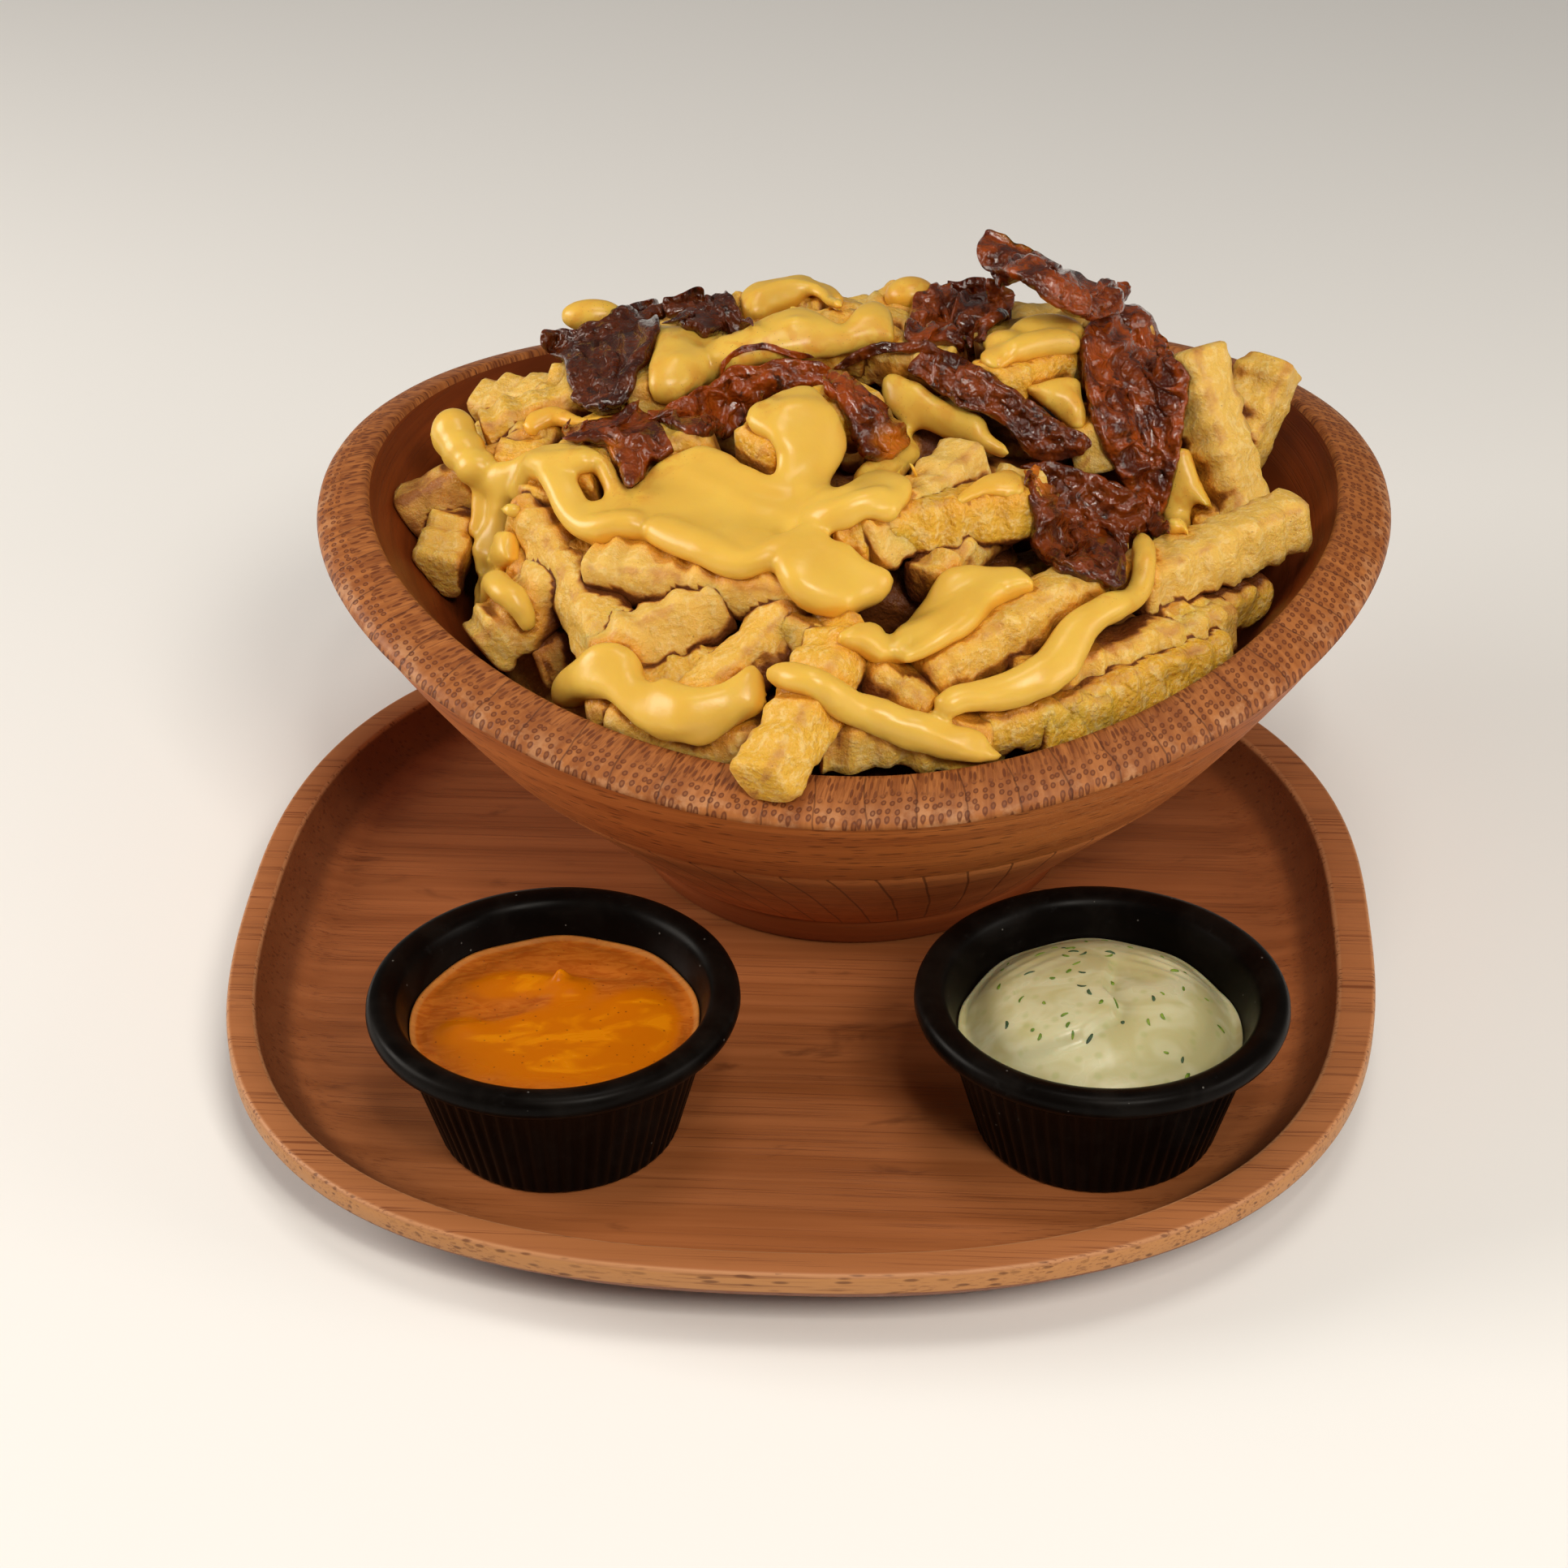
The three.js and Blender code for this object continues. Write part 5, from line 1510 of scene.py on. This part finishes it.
# Browned onion
# Strips of onion cooked until dark and sticky. They lie on the sauce and fries in eight crumpled
# heaps, glossy and nearly black where thick and amber where thin.
ONION_SHEETS = {
    # node: outline in pixels of the photograph
    "onion_back_left": [
        (666, 424), (680, 407), (697, 404), (720, 409), (745, 403), (765, 387), (790, 375), (830, 374),
        (850, 361), (865, 357), (882, 371), (906, 377), (916, 391), (936, 403), (906, 413), (880, 420),
        (850, 412), (824, 404), (812, 420), (801, 448), (784, 466), (771, 491), (767, 508), (741, 515),
        (716, 508), (703, 490), (696, 472), (698, 456), (685, 445), (671, 437),
    ],
    "onion_left": [
        (690, 530), (699, 525), (713, 529), (735, 522), (755, 518), (771, 509), (788, 490), (794, 508),
        (813, 522), (826, 539), (838, 554), (823, 567), (806, 577), (792, 597), (779, 607), (768, 603),
        (759, 584), (754, 569), (741, 556), (725, 551), (708, 547), (695, 548),
    ],
    "onion_strip": [
        (786, 510), (820, 505), (842, 489), (867, 477), (893, 464), (935, 452), (977, 441), (1010, 441),
        (1032, 456), (1062, 477), (1091, 502), (1112, 519), (1123, 554), (1104, 567), (1078, 572),
        (1060, 566), (1047, 541), (1039, 516), (1019, 491), (998, 483), (977, 483), (956, 491),
        (930, 512), (918, 534), (901, 550), (871, 546), (842, 538), (817, 527), (800, 521),
    ],
    "onion_diagonal": [
        (1117, 462), (1123, 443), (1145, 427), (1170, 435), (1200, 447), (1225, 463), (1255, 481),
        (1271, 499), (1296, 511), (1321, 526), (1343, 529), (1349, 548), (1336, 563), (1310, 569),
        (1285, 571), (1263, 567), (1251, 548), (1235, 527), (1209, 511), (1190, 512), (1174, 500),
        (1154, 488), (1137, 475),
    ],
    "onion_back": [
        (1106, 420), (1113, 396), (1123, 363), (1140, 360), (1166, 353), (1208, 349), (1236, 352),
        (1254, 366), (1252, 382), (1244, 395), (1232, 407), (1215, 428), (1196, 442), (1170, 433),
        (1145, 427), (1120, 429),
    ],
    "onion_top": [
        (1198, 302), (1209, 290), (1240, 294), (1262, 307), (1285, 320), (1301, 329), (1331, 341),
        (1358, 358), (1378, 354), (1387, 345), (1400, 352), (1397, 368), (1383, 379), (1377, 393),
        (1345, 399), (1318, 393), (1290, 375), (1262, 353), (1235, 343), (1210, 339), (1200, 322),
    ],
    "onion_right": [
        (1324, 420), (1330, 399), (1345, 387), (1372, 377), (1395, 379), (1414, 394), (1423, 410),
        (1437, 431), (1463, 449), (1470, 462), (1467, 500), (1461, 540), (1456, 575), (1448, 600),
        (1441, 625), (1433, 640), (1445, 656), (1425, 661), (1399, 641), (1379, 601), (1359, 561),
        (1344, 530), (1337, 500), (1331, 460),
    ],
    "onion_front_right": [
        (1237, 573), (1264, 569), (1290, 564), (1320, 572), (1350, 580), (1377, 596), (1412, 605),
        (1438, 611), (1433, 630), (1446, 648), (1445, 665), (1424, 660), (1398, 663), (1388, 678),
        (1392, 703), (1390, 722), (1374, 731), (1350, 722), (1329, 717), (1304, 711), (1280, 695),
        (1265, 670), (1271, 642), (1263, 612), (1255, 588),
    ],
}
ONION_STRANDS = {
    # node: strands, each photograph pixels along it with its width there in pixels
    "onion_back_left": [
        [
            (690, 418, 20), (716, 412, 30), (760, 400, 30), (800, 388, 28), (850, 376, 30),
            (900, 388, 26), (928, 402, 12),
        ],
        [(705, 430, 26), (716, 462, 36), (733, 494, 40), (762, 490, 30), (778, 455, 30), (800, 420, 20)],
        [(740, 420, 14), (756, 450, 20), (748, 480, 22), (740, 505, 14)],
        [(815, 398, 8), (835, 392, 10), (856, 384, 8)],
    ],
    "onion_left": [
        [(693, 540, 10), (722, 538, 18), (756, 540, 28), (790, 548, 26), (820, 552, 12)],
        [(764, 545, 26), (776, 572, 30), (778, 600, 14)],
        [(748, 526, 8), (772, 512, 12), (788, 492, 7)],
        [(697, 527, 5), (700, 520, 5), (703, 515, 3)],
        [(716, 528, 5), (720, 521, 5), (724, 516, 3)],
    ],
    "onion_strip": [
        [(800, 516, 14), (850, 508, 28), (901, 494, 30), (955, 470, 24), (1010, 458, 22)],
        [(1016, 462, 22), (1045, 488, 30), (1080, 522, 34), (1094, 556, 20)],
        [(888, 465, 8), (893, 448, 8), (912, 432, 8), (935, 427, 8), (970, 435, 8), (1003, 441, 6)],
        [(860, 534, 12), (890, 522, 20), (915, 500, 16), (940, 484, 12)],
        [(844, 492, 10), (890, 470, 14), (940, 455, 12), (990, 446, 10)],
    ],
    "onion_diagonal": [
        [(1027, 455, 8), (1061, 437, 12), (1097, 428, 14), (1137, 427, 16), (1160, 437, 14)],
        [
            (1134, 446, 20), (1168, 466, 30), (1210, 490, 32), (1250, 516, 30), (1300, 540, 34),
            (1336, 548, 24),
        ],
        [(1180, 452, 14), (1230, 480, 18), (1280, 512, 20), (1320, 534, 14)],
        [(1180, 500, 10), (1220, 508, 12), (1250, 530, 14), (1276, 558, 10)],
    ],
    "onion_back": [
        [(1118, 416, 16), (1140, 385, 30), (1190, 368, 30), (1250, 362, 20)],
        [(1140, 420, 20), (1185, 408, 30), (1222, 394, 28), (1246, 380, 14)],
        [(1150, 372, 12), (1170, 400, 16), (1196, 428, 12)],
    ],
    "onion_top": [
        [(1204, 304, 26), (1235, 314, 38), (1280, 340, 40), (1330, 366, 36), (1372, 378, 20)],
        [(1290, 350, 12), (1340, 362, 14), (1380, 366, 16), (1393, 352, 8)],
    ],
    "onion_right": [
        [
            (1345, 400, 24), (1366, 440, 36), (1376, 490, 40), (1396, 540, 40), (1418, 590, 30),
            (1426, 640, 14),
        ],
        [
            (1380, 390, 24), (1410, 430, 34), (1436, 470, 34), (1444, 520, 34), (1438, 570, 26),
            (1430, 610, 14),
        ],
        [(1336, 430, 14), (1346, 480, 18), (1360, 530, 18), (1384, 580, 16)],
        [(1388, 430, 26), (1402, 480, 36), (1416, 530, 38), (1426, 580, 34), (1430, 620, 24)],
        [(1350, 470, 10), (1390, 480, 16), (1430, 490, 10)],
        [(1370, 540, 10), (1405, 550, 14), (1446, 540, 8)],
    ],
    "onion_front_right": [
        [(1262, 580, 20), (1286, 610, 34), (1318, 644, 36), (1356, 684, 34), (1378, 716, 22)],
        [(1268, 610, 12), (1282, 650, 18), (1310, 690, 16), (1350, 714, 14)],
        [(1330, 590, 26), (1376, 616, 30), (1420, 640, 22), (1440, 658, 10)],
        [(1300, 640, 12), (1340, 672, 14), (1376, 704, 12)],
        [(1320, 600, 12), (1350, 640, 18), (1380, 660, 14), (1404, 654, 8)],
        [(1262, 598, 8), (1290, 594, 10), (1330, 610, 10)],
    ],
}
ONION_THICKNESS = 2.6
ONION_SKIN = 1.6
ONION_LIFT, LIFT_OF_NEXT = 1.9, 0.3  # of the first strand of a heap, and how much higher the next ones lie
ONION_GRID = 3.2  # pixels between the points of a sheet
STRAND_STEP = 0.8
# The top piece stands up from the others at its left end, as high as this above what is below it.
ONION_RISE = {"onion_top": ((1200, 1390), (14.5, 4.0))}
# How dark a heap is all over, and the pixel and reach of a patch where it is thin and amber.
ONION_DARK = {
    "onion_back_left": 0.7, "onion_left": 0.25, "onion_strip": 0.0, "onion_diagonal": 0.35,
    "onion_back": 0.2, "onion_top": 0.05, "onion_right": 0.0, "onion_front_right": 0.35,
}
ONION_AMBER = {
    "onion_strip": (1096, 556, 42), "onion_front_right": (1262, 590, 46), "onion_left": (756, 560, 22),
}


def rise_of(cad_node, px):
    at, rise = ONION_RISE.get(cad_node, ((0, 1), (0, 0)))
    return np.interp(px, at, rise)


def strand(drape, seen_points, lift, seed, rise):
    """One crumpled strip of onion: wavy across, ragged at its edges and pinched here and there."""
    px, py, width = np.array(seen_points, float).T
    lifts = lift + rise(px)
    places = np.column_stack([drape.seen(px, py, lifts), width / PX_PER_MM, lifts])
    line = through(places, STRAND_STEP)
    middle, width, lifts = line[:, :3], line[:, 3], line[:, 4]
    _, side, normal = drape.directions(middle)
    angle = np.arange(36) / 36 * 2 * math.pi
    # Superellipse section: a flat strip with blunt edges.
    flat = np.sign(np.cos(angle)) * np.abs(np.cos(angle)) ** 0.75
    thick = np.sign(np.sin(angle)) * np.abs(np.sin(angle)) ** 0.8
    last = len(line) - 1
    rings = []
    for k in range(last + 1):
        end = min(k, last - k) / max(last, 1)
        close = min(1.0, math.sqrt(0.03 + end * 7))
        a = flat * (width[k] / 2 * close)
        b = thick * min(ONION_THICKNESS, width[k] * 0.7) / 2 * close
        along = k * STRAND_STEP
        ring = []
        for across_strip, up in zip(a, b):
            q = Vector((along / 4.0, across_strip / 1.8, seed * 3.7))
            ragged = 1 + 0.3 * noise.noise(Vector((along / 2.0, math.copysign(5, across_strip), seed)))
            crumple = 1.2 * noise.noise(q) + 0.4 * noise.noise(q * 2.4)
            pucker = 0.2 * noise.noise(Vector((along / 1.3, across_strip / 1.3, seed + 9))) if up > 0 else 0
            place = middle[k] + across_strip * ragged * side[k]
            ring.append(place + (up + (crumple + pucker) * close) * normal[k])
        ring = np.array(ring)
        base = middle[k] + a[:, None] * side[k]
        sag = drape.z(base[:, 0], base[:, 1]) + lifts[k] - base[:, 2]
        ring[:, 2] += np.clip(sag, -6, 4) * 0.8
        rings.append(ring)
    return skin(rings)


def onion_shape(seed):
    """Both sides of a crumpled sheet of onion with a torn edge."""

    def rough(x, y, size, offset):
        points = zip((x / size).tolist(), (y / size).tolist())
        return np.array([noise.noise(Vector((u, v, seed + offset))) for u, v in points])

    def shape(px, py, inside, kept):
        x, y, depth = px[kept], py[kept], inside[kept]
        whole = depth > 1 + 6 * np.maximum(rough(x, y, 16, 0), 0)
        crests = 1 - 2 * np.abs(rough(x, y, 34, 5)) * 1.6
        height = 1.7 * crests + 1.5 * rough(x, y, 17, 7) + 0.5 * rough(x, y, 8, 9)
        height = np.maximum(height, -0.2) * np.clip(depth / 14, 0.25, 1)
        pucker = 0.15 * rough(x, y, 6, 11)
        upper, lower = np.zeros_like(px), np.zeros_like(px)
        upper[kept] = height + ONION_SKIN + pucker
        lower[kept] = 0.3 - height
        left = np.zeros_like(kept)
        left[kept] = whole
        return lower, upper, left

    return shape


def sticky_onion():
    material, tree, shader = new_material(
        "sticky_onion", IOR=1.45, Subsurface_Weight=0.25, Subsurface_Scale=0.002, Specular_IOR_Level=0.4,
        Coat_Weight=0.4, Coat_Roughness=0.03
    )
    shader.inputs["Subsurface Radius"].default_value = (1.0, 0.25, 0.06)
    position = in_mm(tree)
    patch = cloud(position, 0.12, 3, 0.6, 0.4)
    char = cloud(position, 0.3, 4, 0.65)
    fibre = cloud(position, 0.9, 4, 0.7)
    amber = marked(tree, "amber")
    base = mix(step(patch, 0.36, 0.62), colour(0.07, 0.009, 0.001), colour(0.29, 0.05, 0.003))
    base = mix(marked(tree, "dark"), base, colour(0.02, 0.004, 0.002))
    base = mix(amber, base, colour(0.55, 0.15, 0.006))
    base = mix(step(fibre, 0.58, 0.74, 0.35), base, colour(0.4, 0.14, 0.04))
    charred = step(minus(char, times(amber, 0.2)), 0.56, 0.7, 0.85)
    base = mix(charred, base, colour(0.016, 0.005, 0.003))
    rough = plus(times(char, 0.15), 0.03)
    relief = plus(cloud(position, 0.6, 1, 0.5), times(fibre, 0.2))
    dress(shader, base, rough, relief, 0.9, 1.1)
    return material


onion_material = sticky_onion()
laid_tree = surface_tree(*joined([(fry_points, fry_faces), (sauce_points, sauce_faces)]))
onion_drape = Drape(laid_tree, 30)
onion_points = []
for order, (cad_node, outline) in enumerate(ONION_SHEETS.items()):
    rise = lambda px: rise_of(cad_node, px)
    parts = [sheet(onion_drape, outline, ONION_GRID, onion_shape(7.3 * order), rise=rise)]
    for k, seen in enumerate(ONION_STRANDS[cad_node]):
        parts.append(strand(onion_drape, seen, ONION_LIFT + LIFT_OF_NEXT * k, 3.1 * k + order, rise))
    points = joined(parts)[0]
    onion_points.append(points)
    amber = np.zeros(len(points))
    if cad_node in ONION_AMBER:
        px, py, reach = ONION_AMBER[cad_node]
        gaps = np.linalg.norm(points - onion_drape.seen(px, py)[0], axis=1)
        amber = np.clip(1.6 - 1.6 * gaps / (reach / PX_PER_MM), 0, 1)
    marks = {"amber": amber, "dark": np.full(len(points), ONION_DARK[cad_node])}
    make_piece(cad_node + "_strips", parts, [onion_material], cad_node, marks=marks)

# Sauce and fries as they touch
# The poured sauce is one skin, stained where it lies near onion and orange where it is thin. The
# fries are glazed beside the sauce and given painted shade deep in the heap. Both lie loose in the bowl.
STAIN_REACH = 7.0
GLAZE_REACH = 3.2
THIN_SAUCE = 1.8
SHADE_REACH = 26.0
SHADE_LEANS = [(0, 0, 0.1), (0, 0, 1.2), (0.9, 0, 0.3), (-0.9, 0, 0.3), (0, 0.9, 0.3), (0, -0.9, 0.3)]
TONE_SEED = 5


def nearness(points, others, reach):
    """1 where a point touches one of the others, down to 0 at the reach."""
    tree = KDTree(len(others))
    for i, p in enumerate(others):
        tree.insert(p, i)
    tree.balance()
    gaps = np.array([tree.find(p)[2] for p in points])
    return np.clip(1 - gaps / reach, 0, 1)


def mark_shade(piece, tree, reach):
    """Marks how much of the view from each point is hidden by near things, within the reach."""
    mesh = piece.data
    points, normals = np.empty((2, len(mesh.vertices) * 3))
    mesh.vertices.foreach_get("co", points)
    mesh.vertices.foreach_get("normal", normals)
    points, normals = (points.reshape(-1, 3) - TRAY_MIDDLE) / MM, normals.reshape(-1, 3)
    hidden = np.zeros(len(points))
    for lean in SHADE_LEANS:
        lines = normals + np.array(lean)
        for i, (place, line) in enumerate(zip(points + normals * 0.5, lines)):
            met, _, _, distance = tree.ray_cast(Vector(place), Vector(line).normalized(), reach)
            hidden[i] += 0 if met is None else 1 - 0.5 * distance / reach
    set_mark(mesh, "shade", hidden / len(SHADE_LEANS))


above = sauce_points[:, 2] - drape.z(sauce_points[:, 0], sauce_points[:, 1])
marks = {
    "near_onion": nearness(sauce_points, np.vstack(onion_points)[::3], STAIN_REACH),
    "thin": np.clip(1.4 - above / THIN_SAUCE, 0, 1),
}
sauce = [(sauce_points, sauce_faces)]
make_piece("cheese_sauce", sauce, [cheese_sauce()], "fries", marks=marks)
potato = crisp_potato()
tones = repeatable(TONE_SEED)
for piece_name, group in (("fries_on_top", shown_fries), ("fries_below", hidden_fries)):
    marks = {
        "browning_and_shade": np.concatenate([f[2] for f in group]),
        "tone": np.concatenate([np.full(len(f[0]), next(tones)) for f in group]),
        "glaze": nearness(joined(group)[0], sauce_points[::3], GLAZE_REACH),
    }
    mark_shade(make_piece(piece_name, group, [potato], "fries", marks=marks), laid_tree, SHADE_REACH)

# Floor and light
# A plain pale floor, a soft light high in front with a small one beside it for the glints, others
# straight above and low at both sides, which reach under the bowl, and an even pale surround.
FLOOR_HALF = 3.0
FLOOR_Z = -0.0005
LIT_PLACE = Vector((0.0, 0.02, 0.06))
LIGHTS = {
    # name: place and size in metres, power in watts, colour
    "key": ((0.32, -0.86, 0.9), (0.32, 0.32), 7.2, (1.0, 0.93, 0.82)),
    "glint": ((0.1, -0.8, 1.1), (0.09, 0.09), 1.5, (1.0, 0.93, 0.82)),
    "top": ((0.1, -0.1, 1.25), (0.4, 0.4), 3.2, (1.0, 0.93, 0.84)),
    "left_fill": ((-0.95, 0.05, 0.45), (0.6, 0.4), 7.5, (1.0, 0.93, 0.84)),
    "right_fill": ((0.95, -0.35, 0.35), (0.5, 0.4), 3.2, (1.0, 0.93, 0.84)),
}

material, tree, shader = new_material("pale_floor", Roughness=0.9)
speckle = cloud(node(tree, "TexCoord").outputs["Object"], 3.0)
dress(shader, mix(speckle, colour(0.86, 0.86, 0.86), colour(0.88, 0.88, 0.88)))
mesh = bpy.data.meshes.new("floor")
floor_corners = [(x * FLOOR_HALF, y * FLOOR_HALF, 0) for x, y in ((-1, -1), (1, -1), (1, 1), (-1, 1))]
mesh.from_pydata(floor_corners, [], [(0, 1, 2, 3)])
mesh.materials.append(material)
floor = add_object("floor", mesh)
floor.location.z = FLOOR_Z
floor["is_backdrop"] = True

for name, (place, size, power, tint) in LIGHTS.items():
    light = bpy.data.lights.new(name, "AREA")
    light.shape = "RECTANGLE"
    light.size, light.size_y = size
    light.energy = power
    light.color = tint
    lamp = add_object(name, light)
    lamp.location = place
    lamp.rotation_euler = (LIT_PLACE - Vector(place)).to_track_quat("-Z", "Y").to_euler()

world = bpy.data.worlds.new("surround")
world.use_nodes = True
background = world.node_tree.nodes["Background"]
background.inputs["Color"].default_value = colour(1.0, 0.96, 0.9)
background.inputs["Strength"].default_value = 0.14
bpy.context.scene.world = world
bpy.context.scene.view_settings.view_transform = "Standard"

corners = lambda box: [list(corner) for corner in box]
{"cad": corners(cad_box), "visual": corners(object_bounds())}
